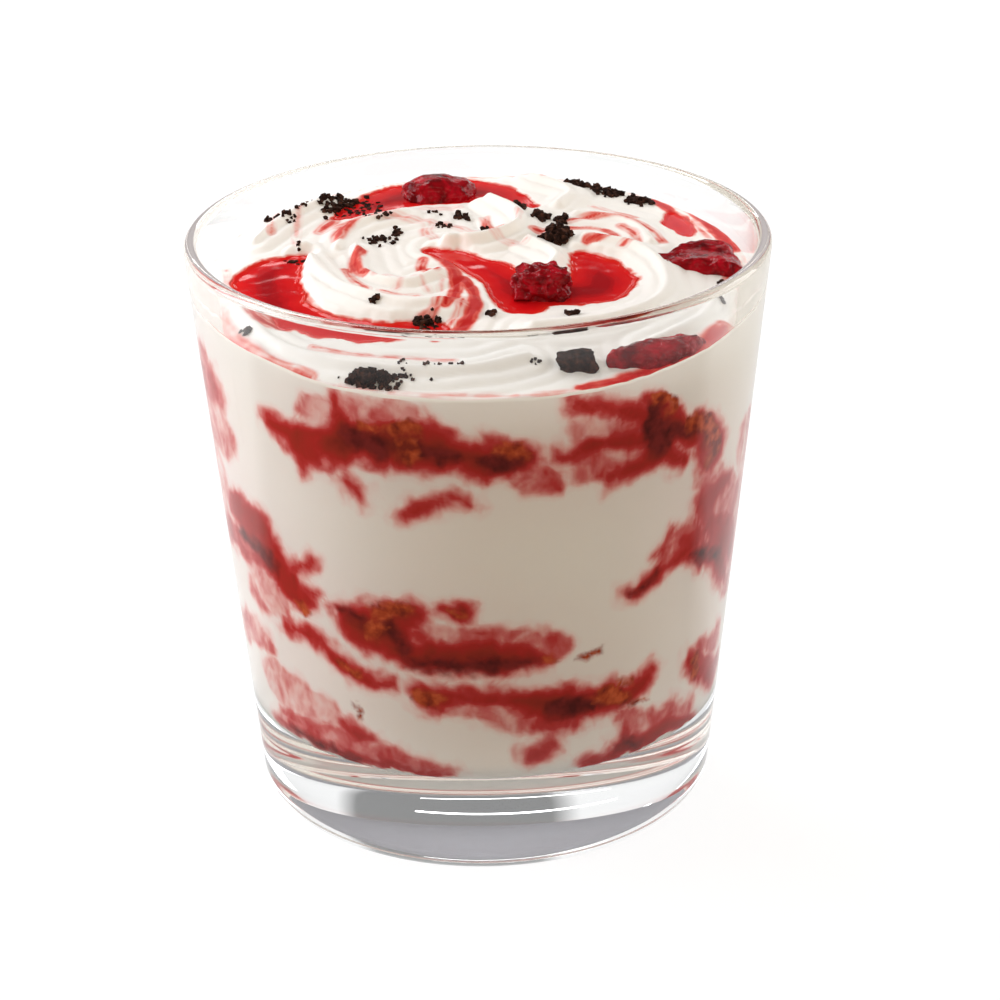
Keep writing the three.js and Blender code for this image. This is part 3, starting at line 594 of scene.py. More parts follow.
def lobe_at(layer, angle):
    """How far a layer opens at each angle, and its middle height and half thickness there."""
    height, lobes = layer
    opened = np.zeros(len(angle))
    middle = np.full(len(angle), height)
    half = np.full(len(angle), CORE_HALF)
    for first, last, start, end, thick, bow in lobes:
        turned = (angle - first) % 360 + first
        inward = np.minimum(turned - first, last - turned)
        share = (turned - first) / (last - first)
        bulge = np.sin(np.pi * np.clip(share, 0, 1))
        ragged = 1 + LOBE_RAGGED * np.sin(LOBE_WAVE * turned + height)
        here = inward > 0
        opened = np.where(here, smooth_step(inward / LOBE_RAMP), opened)
        middle = np.where(here, start + (end - start) * share + bow * bulge, middle)
        half = np.where(here, thick / 2 * np.sqrt(np.maximum(bulge, LOBE_TIP)) * ragged, half)
    return opened, middle, half


# %% Sauce at a place on the wall
FRONT_END = 88
BACK_BLEND = 8
BACK_STEP = 6.0
OUTSIDE = -9.0
BACK_THIN = 1.6
BACK_DEPTH = 3.2
BACK_CORE = 1.8
LOBE_SHUT = 4.0
LOBE_FRAY = 9.0
BACK_RAGGED = 2.4
CORE_RAGGED = 2.0
BACK_PATTERN = (6.0, 3, 4.0)
FLOOR_FADE = 4.0
FLOOR_BAND = 0.8
FLOOR_BLUR = 0.6
WARPS = [(4.5, 1.0), (1.9, 0.5)]
WARP_SEEDS = (3.0, 17.0, 31.0)


def unrolled(path):
    """A stroke on the wall, from degrees to millimetres round it."""
    return [[math.radians(a) * float(hollow_radius(z)), z, half] for a, z, half in path]


def wall_fields(made):
    """For places on the wall, millimetres inside sauce, inside a dark core and inside a biscuit bit."""
    warped = made.copy()
    for size, reach in WARPS:
        for axis, seed in enumerate(WARP_SEEDS):
            warped[:, axis] += reach * rough(made, size, 2, seed + size)
    angle = np.degrees(np.arctan2(warped[:, 0], -warped[:, 1]))
    across = np.radians(angle) * hollow_radius(made[:, 2])
    up = warped[:, 2]
    red = np.full(len(made), OUTSIDE)
    for limit, path in BLOTS:
        red = np.maximum(red, np.minimum(depth_in(unrolled(path), across, up), limit))
    core = np.max([depth_in(unrolled(path), across, up) for path in CORES], axis=0)
    bit = np.max([depth_in(unrolled(path), across, up) for path in BITS], axis=0)
    behind = smooth_step((np.abs(angle) - FRONT_END) / BACK_BLEND)
    mottled = rough(made, *BACK_PATTERN)
    for layer in LAYERS.values():
        opened, middle, half = lobe_at(layer, (angle + LOBE_FRAY * mottled) % 360)
        inner = np.minimum(half - BACK_THIN, BACK_DEPTH) * opened - np.abs(up - middle)
        inner -= LOBE_SHUT * (1 - opened)
        ragged = inner + BACK_RAGGED * mottled
        red = np.maximum(red, np.where(behind > 0, ragged - BACK_STEP * (1 - behind), OUTSIDE))
        deep = inner - BACK_CORE - CORE_RAGGED * mottled
        core = np.maximum(core, np.where(behind > 0.5, deep, OUTSIDE))
        bit = np.maximum(bit, np.where(behind > 0.5, ragged - BACK_CORE, OUTSIDE))
    red -= FLOOR_FADE * smooth_step((FLOOR_HEIGHT + FLOOR_BAND - up) / FLOOR_BLUR)
    return {"sauce": red, "core": core, "bit": bit}


print("layers:", ", ".join(LAYERS))

# %% [markdown]
# ## The cream
# Soft serve presses against the glass, so the piece reaches a tenth of a millimetre into the wall and
# no gap of air shows. It is turned as a plain plug, and then its top is swirled and its side fitted.

# %% Turn the plug and shape it
IN_WALL = 0.1
CREAM_STEPS = 400
TOP_RINGS = 104
SIDE_ROWS = 112
PLUG_TOP = 84.0
FLOOR_RINGS = 12
FIRST_RING = 4.0
TOUCH = 0.01
side_start = FLOOR_HEIGHT + FLOOR_ROUNDING
plug_radius = float(hollow_radius(PLUG_TOP))
plug_profile = [
    (0, FLOOR_HEIGHT - IN_WALL),
    *[(float(r), FLOOR_HEIGHT - IN_WALL) for r in np.linspace(FIRST_RING, corner_radius - 1, FLOOR_RINGS)],
    *arc((corner_radius, corner_height), FLOOR_ROUNDING + IN_WALL, -90, 0, 8),
    *[
        (float(hollow_radius(z)) + IN_WALL, float(z))
        for z in np.linspace(side_start, PLUG_TOP, SIDE_ROWS)[1:]
    ],
    *[(plug_radius * (1 - ring / TOP_RINGS), PLUG_TOP) for ring in range(1, TOP_RINGS + 1)],
]
cream = lathe("soft_serve_swirl", plug_profile, CREAM_STEPS)

points = points_of(cream)
radius = np.hypot(points[:, 0], points[:, 1])
outward = points[:, :2] / np.maximum(radius, TOUCH)[:, None]
edge_height = top_height(*(outward * FILL_RADIUS).T)
on_top = points[:, 2] > PLUG_TOP - TOUCH
on_side = (points[:, 2] > side_start + TOUCH) & ~on_top
new_z = side_start + (points[:, 2] - side_start) / (PLUG_TOP - side_start) * (edge_height - side_start)
fitted_side = np.column_stack([outward * (hollow_radius(new_z) + IN_WALL)[:, None], new_z])
points[on_side] = fitted_side[on_side]
grow = (hollow_radius(edge_height) + IN_WALL) / (plug_radius + IN_WALL)
points[on_top, :2] *= grow[on_top, None]
points[on_top, 2] = top_height(points[on_top, 0], points[on_top, 1])
move_points(cream, points)
print("cream:", len(cream.data.polygons), "faces")

# %% [markdown]
# ## Stains on the cream
# The spoon dragged sauce through the top: streaks that follow the swirl, from a pink blush to clear
# red. They are strokes too, each with how strong it is, and each pool blushes the cream at its shore.

# %% Streaks on the top
# Each streak: how strong it is, and its stroke.
STREAKS = [
    # the flow down to the front, in parallel bands
    (0.86, [[-8, 8, 0.8], [-5, 3, 1.2], [-3.6, -3, 1.1], [-3.4, -9, 1.1], [-5, -16, 0.9]]),
    (0.95, [[-2.6, -4, 0.5], [-0.9, -9, 0.9], [-0.6, -15, 1.1], [-2.4, -21, 1.2], [-6.4, -26, 0.9]]),
    (0.45, [[-2.4, -12, 0.8], [-3.2, -18, 1.0], [-6.5, -23.5, 1.0]]),
    (0.7, [[-8.5, 4, 0.8], [-8.8, 0, 0.9], [-6.6, -3, 0.8]]),
    (0.6, [[-5.6, -14, 0.8], [-7, -17.5, 1.0], [-10, -19.5, 0.8]]),
    # round the hub
    (0.5, [[-23, 22, 1.6], [-25, 17, 1.2]]),
    (0.62, [[-13, 23.6, 0.8], [-19, 20, 1.3], [-21.5, 14.5, 1.5], [-22, 11, 0.8]]),
    (0.66, [[-18, 6.5, 0.9], [-19, 2, 1.1], [-18.4, -2, 1.0], [-17.4, -3.4, 0.7]]),
    (0.52, [[-20.4, -1, 0.6], [-19, -6, 0.8], [-17, -9.6, 0.7]]),
    (0.34, [[-15.6, -4.4, 0.7], [-13.4, -3.2, 0.7]]),
    (0.42, [[-14.6, -10.4, 0.8], [-11.5, -11.6, 1.1], [-9.2, -11, 0.9]]),
    (0.32, [[-12, -3.4, 0.7], [-11.6, -6, 0.9], [-12.6, -9, 0.8]]),
    (0.32, [[-9.6, -3.8, 0.6], [-8.6, -6.4, 0.7], [-7.6, -9, 0.5]]),
    (0.36, [[-5.4, -5, 0.8], [-5.6, -8.6, 0.9]]),
    (0.36, [[-24, 17, 1.6], [-16, 21, 1.6], [-6, 19, 1.4], [0, 14, 1.0]]),
    (0.34, [[-7.4, 20, 1.4], [-8, 15.5, 1.6], [-6.4, 12, 1.2]]),
    (0.3, [[-3, 26, 1.4], [-8.6, 26, 1.4]]),
    (0.32, [[1, 11.6, 1.2], [4.4, 8.8, 1.2], [7.6, 8.4, 1.0]]),
    (0.6, [[1.2, 20.4, 0.7], [1.6, 16.4, 0.9], [3.4, 15, 0.8]]),
    (0.34, [[6, 15.6, 0.6], [6.6, 19.6, 0.6]]),
    # rings of the small whorl at the right
    (0.66, [[9, 14, 1.0], [13.5, 16.2, 0.9], [18.5, 16.4, 0.9], [21.4, 13.4, 0.9], [20.6, 9.6, 0.8],
            [17, 8.6, 0.7]]),
    (0.5, [[22.4, 6.4, 0.7], [24.8, 9, 0.8], [24.6, 13.4, 0.7], [22.6, 17, 0.6]]),
    (0.5, [[13.4, 19, 0.8], [18, 20.4, 0.8], [23, 20.4, 0.7], [27, 15.6, 0.6], [29, 10.2, 0.6]]),
    (0.42, [[18.6, 26.4, 0.8], [21, 24.4, 0.7], [25, 20.8, 0.5]]),
    # the right side
    (0.95, [[28.6, 30.4, 0.7], [30.2, 27.6, 0.8], [31, 25.4, 0.5]]),
    (0.95, [[33, 29, 0.6], [36, 22, 1.1], [38.2, 15, 1.2], [40, 9, 1.0]]),
    (0.45, [[34, 21, 0.5], [36.5, 13.6, 0.6]]),
    (0.5, [[37.4, -6, 0.7], [38.6, -1, 0.8]]),
    # beside the left pool and behind it
    (0.34, [[-39, 4, 0.8], [-38.6, 0, 0.9], [-38.6, -5, 0.7]]),
    (0.66, [[-36, -12, 0.8], [-33, -18, 1.2], [-28.6, -21.6, 1.0]]),
    (0.4, [[-31.6, 29, 0.7], [-32.6, 22, 0.9], [-32.6, 16, 0.7]]),
    (0.36, [[-28.6, 26, 0.7], [-28.6, 13, 0.7], [-28, 10, 0.6]]),
    (0.4, [[-24, 40, 0.8], [-23.4, 35, 1.0]]),
    # thin sauce that has crept along the glass in front
    (0.5, [[-24, -27.4, 0.7], [-14, -30.6, 0.8], [-4, -32.2, 0.6]]),
    (0.48, [[-39, -14, 0.9], [-36.4, -21, 1.3], [-30, -29, 1.4], [-24, -34, 1.2]]),
    (0.36, [[-20, -36.8, 0.9], [-8, -40, 0.9], [6, -40.6, 0.9], [14, -39, 0.9]]),
    (0.8, [[14, -38.4, 0.8], [20, -36, 1.4], [27, -31.4, 1.8], [32, -26.4, 1.6], [35.6, -21, 0.9]]),
    (0.4, [[40, 4, 1.0], [40.4, -6, 1.0]]),
]
THINNEST = 0.9
EDGE_STAIN = 0.42


def streak_field(x, y):
    """How stained each place on top is: a cone over each streak, so that it blends evenly."""
    stain = np.zeros(len(x))
    for strength, path in STREAKS:
        wide = [[px, py, max(half, THINNEST)] for px, py, half in path]
        cone = EDGE_STAIN + (1 - EDGE_STAIN) * inside_by(wide, x, y)
        stain = np.maximum(stain, strength * cone)
    return stain


top_x, top_y = points[on_top, 0], points[on_top, 1]
fields = {
    "stain": streak_field(top_x, top_y),
    "lane": line_distance([path for _, path in STREAKS], top_x, top_y),
    "shore": inside_any_pool(top_x, top_y),
    "edge": np.hypot(top_x, top_y) - FILL_RADIUS,
}
for name, found in fields.items():
    values = np.zeros(len(points))
    values[on_top] = found
    keep_value(cream, name, values)
at_wall = ~on_top & (radius > corner_radius - 1)
for name, found in wall_fields(points[at_wall]).items():
    values = np.full(len(points), OUTSIDE)
    values[at_wall] = found
    keep_value(cream, name, values)
print("stained share of the top:", round(float((fields["stain"] > 0.3).mean()), 2))

# %% [markdown]
# Soft serve is milk fat, sugar and air: white with a trace of grey-green, satin where it is fresh.
# A stain turns it from blush to red. Stripes along each streak marble it, 1.2 mm apart, because the
# spoon drew cream and sauce out together, and a thin film of sauce reddens it at a pool's shore.

# %% Swirled cream
CREAM_WHITE = "#F8F4EE"
MARBLE_SPACING = 1.25
SHORE_FILM = 0.55

cream_look = new_look("whipped dairy cream")
place = add_node(cream_look, "TexCoord").outputs["Object"]
stain_field, lane_field, shore_field, edge_field = (
    add_node(cream_look, "Attribute", attribute_name=name).outputs["Fac"] for name in fields
)
drift = add_node(cream_look, "TexNoise", {"Vector": place, "Scale": 1 / (6 * MM), "Detail": 2.0})
lanes = add_node(cream_look, "Math", {0: drift, 1: 2.0, 2: lane_field}, operation="MULTIPLY_ADD")
marble = add_node(
    cream_look, "TexNoise", {"W": lanes, "Scale": 1 / MARBLE_SPACING, "Detail": 1.0},
    noise_dimensions="1D",
)
patches = add_node(
    cream_look, "TexNoise", {"Vector": place, "Scale": 1 / (3.2 * MM), "Detail": 2.0, "Distortion": 0.4}
)
blotted = add_node(cream_look, "Math", {0: marble, 1: patches}, operation="ADD")
uneven = add_node(cream_look, "Math", {0: blotted, 1: 0.65, 2: -0.65}, operation="MULTIPLY_ADD")
film = add_node(
    cream_look, "MapRange",
    {"Value": shore_field, "From Min": -0.9, "From Max": 0.1, "To Max": SHORE_FILM},
    interpolation_type="SMOOTHSTEP",
)
at_glass = add_node(
    cream_look, "MapRange", {"Value": edge_field, "From Min": -1.6, "From Max": -0.2, "To Max": 0.24},
    interpolation_type="SMOOTHSTEP",
)
shores = add_node(cream_look, "Math", {0: film, 1: at_glass}, operation="MAXIMUM")
stained = add_node(cream_look, "Math", {0: stain_field, 1: shores}, operation="MAXIMUM")
where_stained = add_node(cream_look, "MapRange", {"Value": stained, "From Min": 0.05, "From Max": 0.35})
amount = add_node(cream_look, "Math", {0: uneven, 1: where_stained, 2: stained}, operation="MULTIPLY_ADD")
tint = add_node(
    cream_look, "ValToRGB", {"Fac": amount},
    stops=[
        (0.14, CREAM_WHITE), (0.28, "#F3DCD6"), (0.42, "#EDA79C"), (0.56, "#DD5346"), (0.74, "#C71B17")
    ],
)
pores = add_node(cream_look, "TexNoise", {"Vector": place, "Scale": 1 / (0.9 * MM), "Detail": 3.0})
fine = add_node(cream_look, "Bump", {"Strength": 0.2, "Distance": 0.12 * MM, "Height": pores})
cream_shader = add_node(
    cream_look, "BsdfPrincipled",
    {"Base Color": tint, "Roughness": 0.42, "IOR": 1.4, "Specular IOR Level": 0.3, "Normal": fine},
)
finish_look(cream_look, cream_shader)

# %% [markdown]
# Against the glass the food is a flat picture: cream, a pink wash, red sauce, dark cores, and amber
# bits of soaked biscuit. The depth inside a blot is warped by noise before it is coloured, so that
# its edges fray, a little drawn out up and down. It has no shine, as there is no air at its surface.

# %% Cream and sauce pressed on glass
wall_look = new_look("cream and fruit sauce pressed on glass")
wall_place = add_node(wall_look, "TexCoord").outputs["Object"]


def frayed(field, size, amount, stretch=1.0):
    """A field in mm with noise of a size in mm added; above 1, stretch draws the noise out upwards."""
    scale = (1 / (size * MM), 1 / (size * MM), 1 / (stretch * size * MM))
    drawn = add_node(wall_look, "Mapping", {"Vector": wall_place, "Scale": scale})
    pattern = add_node(
        wall_look, "TexNoise", {"Vector": drawn, "Scale": 1.0, "Detail": 2.0, "Distortion": 0.5}
    )
    centred = add_node(
        wall_look, "Math", {0: pattern, 1: 2 * amount, 2: -amount}, operation="MULTIPLY_ADD"
    )
    return add_node(wall_look, "Math", {0: field, 1: centred}, operation="ADD")


def patch_over(below, field_name, grain, fray, low, high, stops):
    """Lays mottled patches over a colour, where a field in mm says."""
    field = add_node(wall_look, "Attribute", attribute_name=field_name).outputs["Fac"]
    share = add_node(
        wall_look, "MapRange", {"Value": frayed(field, grain, fray), "From Min": low, "From Max": high},
        interpolation_type="SMOOTHSTEP",
    )
    mottle = add_node(
        wall_look, "TexNoise", {"Vector": wall_place, "Scale": 1 / (1.3 * grain * MM), "Detail": 2.0}
    )
    colour = add_node(wall_look, "ValToRGB", {"Fac": mottle}, stops=stops)
    return add_node(wall_look, "Mix", {0: share, 6: below, 7: colour}, data_type="RGBA").outputs[2]


red_field = add_node(wall_look, "Attribute", attribute_name="sauce").outputs["Fac"]
ragged = frayed(frayed(red_field, 4.0, 1.5, 1.3), 1.5, 0.4, 1.3)
red_share = add_node(wall_look, "MapRange", {"Value": ragged, "From Min": -3.0, "From Max": 4.0})
sauce_colour = add_node(
    wall_look, "ValToRGB", {"Fac": red_share},
    stops=[
        (0.06, "#F1EBE0"), (0.19, "#F1E0D6"), (0.29, "#E8B3A8"), (0.38, "#D4706A"), (0.46, "#C03A36"),
        (0.56, "#B02A22"), (0.72, "#9A2E1F"), (1.0, "#762618"),
    ],
)
with_core = patch_over(sauce_colour, "core", 1.9, 1.1, -0.9, 1.2, [(0.35, "#561913"), (0.6, "#7C2620")])
above_floor = patch_over(
    with_core, "bit", 1.4, 0.9, -0.6, 0.7, [(0.34, "#7E2A18"), (0.5, "#AC4522"), (0.66, "#C95C33")]
)
# Where the cream lies on the glass floor it is painted a cool grey, as painted shade under the food.
wall_split = add_node(wall_look, "SeparateXYZ", {"Vector": wall_place})
floor_shade_share = add_node(
    wall_look, "MapRange",
    {
        "Value": wall_split.outputs["Z"], "From Min": (FLOOR_HEIGHT + 0.5) * MM,
        "From Max": (FLOOR_HEIGHT + 0.05) * MM,
    },
)
pressed_colour = add_node(
    wall_look, "Mix", {0: floor_shade_share, 6: above_floor, 7: linear("#D6D4D9")}, data_type="RGBA"
).outputs[2]
wall_shader = add_node(
    wall_look, "BsdfPrincipled",
    {"Base Color": pressed_colour, "Roughness": 0.6, "Specular IOR Level": 0.0},
)
finish_look(wall_look, wall_shader)

# %% Give top and side their materials
cream.data.materials.append(cream_look)
cream.data.materials.append(wall_look)
for face in cream.data.polygons:
    if not all(on_top[v] for v in face.vertices):
        face.material_index = 1
print("cream has", len(cream.data.materials), "materials")

# %% [markdown]
# ## The sauce layers
# Each layer is turned as a disc with a tall rim, then every point of its profile is moved to where the
# lobes put it at its angle. At the glass it reaches a little further into the wall than the cream.

# %% Turn and shape the layers
LAYER_STEPS = 300
RIM_ROWS = 12
LAYER_IN_WALL = 0.12
# The disc as it is turned: radius of its rim and of its inner ring, half its height, and its slope.
DISC_RIM = 30.0
DISC_RING = 15.0
DISC_HALF = 4.0
DISC_SLOPE = 0.1
LAYER_SMOOTH = math.radians(40)


def layer_piece(name, layer):
    """One sauce layer, from its centre to the glass."""
    height = layer[0]
    rim = [(DISC_RIM, height + DISC_HALF * (1 - 2 * row / RIM_ROWS)) for row in range(RIM_ROWS + 1)]
    middle_up = DISC_HALF + 2 * DISC_SLOPE
    ring_up = DISC_HALF + DISC_SLOPE
    above = [(0, height + middle_up), (DISC_RING, height + ring_up)]
    below = [(DISC_RING, height - ring_up), (0, height - middle_up)]
    piece = lathe(name, [*above, *rim, *below], LAYER_STEPS)
    start = points_of(piece)
    r = np.hypot(start[:, 0], start[:, 1])
    angle = np.degrees(np.arctan2(start[:, 0], -start[:, 1]))
    opened, middle, half = lobe_at(layer, angle % 360)
    wave = np.sin(np.radians(CORE_WAVES * angle) + height)
    core = CORE_SHARE * hollow_radius(height) * (1 + CORE_WOBBLE * wave)
    wall = hollow_radius(middle) + LAYER_IN_WALL
    end = core + CORE_LIP + (wall - core - CORE_LIP) * opened
    out = (end - core) / (wall - core)
    end_middle = height + (middle - height) * out
    end_half = CORE_HALF + (half - CORE_HALF) * out
    up = (start[:, 2] - height) / DISC_HALF
    on_rim = r > (DISC_RING + DISC_RIM) / 2
    z = np.where(on_rim, end_middle + end_half * up, height + CORE_HALF * np.sign(up))
    z = np.maximum(z, FLOOR_HEIGHT - IN_WALL / 2)
    follow = end + opened * (hollow_radius(z) - hollow_radius(middle))
    new_r = np.where(on_rim, follow, np.where(r > DISC_RING / 2, core, 0))
    made = np.column_stack([new_r * np.sin(np.radians(angle)), -new_r * np.cos(np.radians(angle)), z])
    move_points(piece, made)
    for field, found in wall_fields(made).items():
        keep_value(piece, field, found)
    piece.data.materials.append(wall_look)
    deselect()
    piece.select_set(True)
    bpy.context.view_layer.objects.active = piece
    bpy.ops.object.shade_smooth_by_angle(angle=LAYER_SMOOTH)
    return piece


layers = {name: layer_piece(name + "_run", layer) for name, layer in LAYERS.items()}
print("layers:", sum(len(piece.data.polygons) for piece in layers.values()), "faces")

# %% [markdown]
# ## Pools of sauce
# Fruit sauce is thick and finds its own level, so a pool is flat in the middle, with a rounded edge
# where it lies on the cream. Each pool is a fine grid laid over its trough, with what lies outside its
# shore cut away, and then given a thickness. How far in from the shore a place is sets its colour.

# %% Lay the pools
GRID_STEP = 0.3
POOL_FILL = 0.3
POOL_MARGIN = 0.9
POOL_THICKNESS = 0.9
EDGE_BEAD = 0.55
BEAD_LEAD = 0.2
BEAD_WIDTH = 0.5
BEAD_SUNK = 0.45
STILL_FROM = 0.5
TUCK_FROM = 0.3
TUCK_SLOPE = 0.5
WALL_ROOM = 0.1
RIPPLES = 0.06
RIPPLE_PATTERN = (4.0, 2, 9.0)


def pool_piece(name, paths):
    """One pool of sauce as a closed sheet that dips under the cream at its shore."""
    reach = np.vstack([sampled(path) for path in paths])
    margin = reach[:, 2].max() + 2 * POOL_MARGIN
    low = reach[:, :2].min(axis=0) - margin
    high = reach[:, :2].max(axis=0) + margin
    cuts = np.ceil((high - low) / GRID_STEP).astype(int)
    deselect()
    bpy.ops.mesh.primitive_grid_add(x_subdivisions=int(cuts[0]), y_subdivisions=int(cuts[1]), size=MM)
    piece = named(name)
    flat = points_of(piece)
    x = low[0] + (flat[:, 0] + 0.5) * (high[0] - low[0])
    y = low[1] + (flat[:, 1] + 0.5) * (high[1] - low[1])
    inside = inside_pool(paths, x, y)
    still = level_at(x, y) - POOL_FILL + RIPPLES * plan_noise(x, y, *RIPPLE_PATTERN)
    bead = EDGE_BEAD * (smooth_step((inside + BEAD_LEAD) / BEAD_WIDTH) - BEAD_SUNK)
    surface = np.maximum(top_height(x, y) + bead, np.where(inside > STILL_FROM, still, 0))
    surface -= TUCK_SLOPE * np.maximum(-TUCK_FROM - inside, 0)
    move_points(piece, np.column_stack([x, y, surface]))
    keep_value(piece, "shore", inside)
    bpy.ops.object.mode_set(mode="EDIT")
    bpy.ops.mesh.select_all(action="DESELECT")
    bpy.ops.object.mode_set(mode="OBJECT")
    too_far = (inside < -POOL_MARGIN) | (np.hypot(x, y) > hollow_radius(surface) - WALL_ROOM)
    for vertex, far in zip(piece.data.vertices, too_far):
        vertex.select = bool(far)
    bpy.ops.object.mode_set(mode="EDIT")
    bpy.ops.mesh.delete(type="VERT")
    bpy.ops.object.mode_set(mode="OBJECT")
    bpy.ops.object.shade_smooth()
    thick = piece.modifiers.new("thickness", "SOLIDIFY")
    thick.thickness = POOL_THICKNESS * MM
    thick.offset = -1
    bpy.ops.object.modifier_apply(modifier=thick.name)
    return piece


pools = {name: pool_piece(name + "_sauce", paths) for name, paths in POOLS.items()}
print("pools:", sum(len(piece.data.polygons) for piece in pools.values()), "faces")

# %% [markdown]
# Cooked fruit sauce is sugar syrup, deep red and see-through: thin at the shore it is orange-pink over
# the cream, and in the middle a strong red, in lanes along its shore. It is wet, so it shows the lamps
# as small sharp lights.

# %% Wet fruit sauce
LANE_WIDTH = 1.6

sauce_look = new_look("wet fruit sauce")
sauce_place = add_node(sauce_look, "TexCoord").outputs["Object"]
shore = add_node(sauce_look, "Attribute", attribute_name="shore").outputs["Fac"]
sway = add_node(sauce_look, "TexNoise", {"Vector": sauce_place, "Scale": 1 / (7 * MM), "Detail": 2.0})
lane = add_node(sauce_look, "Math", {0: sway, 1: 5.0, 2: shore}, operation="MULTIPLY_ADD")
lane_noise = add_node(
    sauce_look, "TexNoise", {"W": lane, "Scale": 1 / LANE_WIDTH, "Detail": 2.0}, noise_dimensions="1D"
)
lane_shift = add_node(sauce_look, "Math", {0: lane_noise, 1: 3.0, 2: -1.6}, operation="MULTIPLY_ADD")
depth = add_node(sauce_look, "Math", {0: shore, 1: lane_shift}, operation="ADD")
depth_share = add_node(sauce_look, "MapRange", {"Value": depth, "From Min": -1.0, "From Max": 5.0})
sauce_tint = add_node(
    sauce_look, "ValToRGB", {"Fac": depth_share},
    stops=[(0.02, "#E66A52"), (0.12, "#DE3826"), (0.26, "#DA1C1A"), (0.5, "#D11116"), (0.95, "#A30A12")],
)
sauce_shader = add_node(
    sauce_look, "BsdfPrincipled",
    {"Base Color": sauce_tint, "Roughness": 0.08, "IOR": 1.36, "Specular IOR Level": 0.22},
)
finish_look(sauce_look, sauce_shader)
for piece in pools.values():
    piece.data.materials.append(sauce_look)

# %% [markdown]
# ## Fruit
# Two pieces are lumps, one smooth and one knobbly with drupelets, and two are cut chunks with flat
# faces. A lump fills its CAD node's box, and a chunk lies sunk in the cream where its node does.

# %% Shape the fruit
BOX_REACH = 0.85
CHUNK_BEVEL = 1.3
CHUNK_CUTS = 5
CHUNK_SMOOTHINGS = 8
CHUNK_ROOM = 0.05
# Axis by axis, how far the faces are pushed about, and by which patterns: size in mm, octaves, seed.
CHUNK_ROUGHNESS = [
    (2, [(0.6, (3.6, 3, 1.0)), (0.2, (1.2, 2, 3.0))]),
    (0, [(0.5, (2.8, 3, 6.0))]),
    (1, [(0.5, (2.8, 3, 9.0))]),
]


def lump_piece(name, node, bumps, size, detail=5, squareness=0.0):
    """A lump in a node's box: an icosphere, its bumps of a size in mm, and how boxy it is."""
    low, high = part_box(node)
    middle = np.array((low + high) / 2) / MM
    half = np.array((high - low) / 2) / MM
    deselect()
    bpy.ops.mesh.primitive_ico_sphere_add(subdivisions=detail, radius=MM)
    piece = named(name)
    ball = points_of(piece)
    boxy = ball / np.maximum(np.abs(ball).max(axis=1, keepdims=True), 1e-6)
    form = ball * (1 - squareness) + boxy * squareness * BOX_REACH
    lumps = rough(form * half.mean(), size, 3, middle[0])
    form = form * (1 + bumps * lumps)[:, None]
    form = form / np.abs(form).max(axis=0)
    move_points(piece, middle + form * half)
    bpy.ops.object.shade_smooth()
    return piece


def chunk_piece(name, node, outline, thick, sunk):
    """A cut chunk: its outline filled, extruded, bevelled, sunk in the cream and roughened a little."""
    low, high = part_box(node)
    deselect()
    bpy.ops.mesh.primitive_circle_add(vertices=len(outline), radius=MM, fill_type="NGON")
    piece = named(name)
    plan = np.array(outline, dtype=float)
    base = np.full(len(plan), high.z / MM - sunk - thick)
    move_points(piece, np.column_stack([plan, base]))
    bpy.ops.object.mode_set(mode="EDIT")
    bpy.ops.mesh.select_all(action="SELECT")
    bpy.ops.mesh.extrude_region_move(TRANSFORM_OT_translate={"value": (0, 0, thick * MM)})
    bpy.ops.mesh.select_all(action="SELECT")
    bpy.ops.mesh.normals_make_consistent(inside=False)
    bpy.ops.mesh.bevel(offset=CHUNK_BEVEL * MM, segments=3, affect="EDGES")
    bpy.ops.mesh.quads_convert_to_tris()
    bpy.ops.mesh.subdivide(number_cuts=CHUNK_CUTS)
    bpy.ops.mesh.vertices_smooth(factor=0.5, repeat=CHUNK_SMOOTHINGS)
    bpy.ops.object.mode_set(mode="OBJECT")
    made = points_of(piece)
    for axis, pushes in CHUNK_ROUGHNESS:
        made[:, axis] += sum(reach * rough(made, *pattern) for reach, pattern in pushes)
    out = np.hypot(made[:, 0], made[:, 1])
    limit = hollow_radius(made[:, 2]) - CHUNK_ROOM
    made[:, :2] *= np.minimum(1, limit / out)[:, None]
    move_points(piece, made)
    bpy.ops.object.shade_smooth()
    return piece


CHUNKS = {
    # outline in the plan, thickness, how far its top lies under its node's
    "fruit_piece_right": (
        [[23.6, 2.6], [28, 3.6], [31, 7], [34.5, 11], [39.6, 8], [40.6, -3.4], [36, -2], [29, -0.4]],
        3.0, 1.0),
    "fruit_piece_front": (
        [[17.6, -33.4], [19.5, -30], [24, -28], [28.5, -24.5],
         [31, -25.5], [33, -25], [30, -29], [25, -33]],
        3.2, 1.9),
}
fruit = {
    "fruit_piece_back": lump_piece("fruit_back_cooked", "fruit_piece_back", 0.2, 4.0, squareness=0.1),
    "fruit_piece_centre": lump_piece(
        "fruit_centre_cooked", "fruit_piece_centre", 0.24, 1.6, squareness=0.45
    ),
}
for node, (outline, thick, sunk) in CHUNKS.items():
    fruit[node] = chunk_piece(node.replace("piece_", "") + "_cooked", node, outline, thick, sunk)
print("fruit:", {name: len(piece.data.polygons) for name, piece in fruit.items()})

# %% [markdown]
# Cooked fruit is darker than its sauce, with a mottled flesh and a wet skin. The bumps are the seeds
# and fibres under the skin, about a millimetre across, and they break the lamps into small glints.

# %% Wet cooked fruit
MOTTLE_DETAIL = 4.0


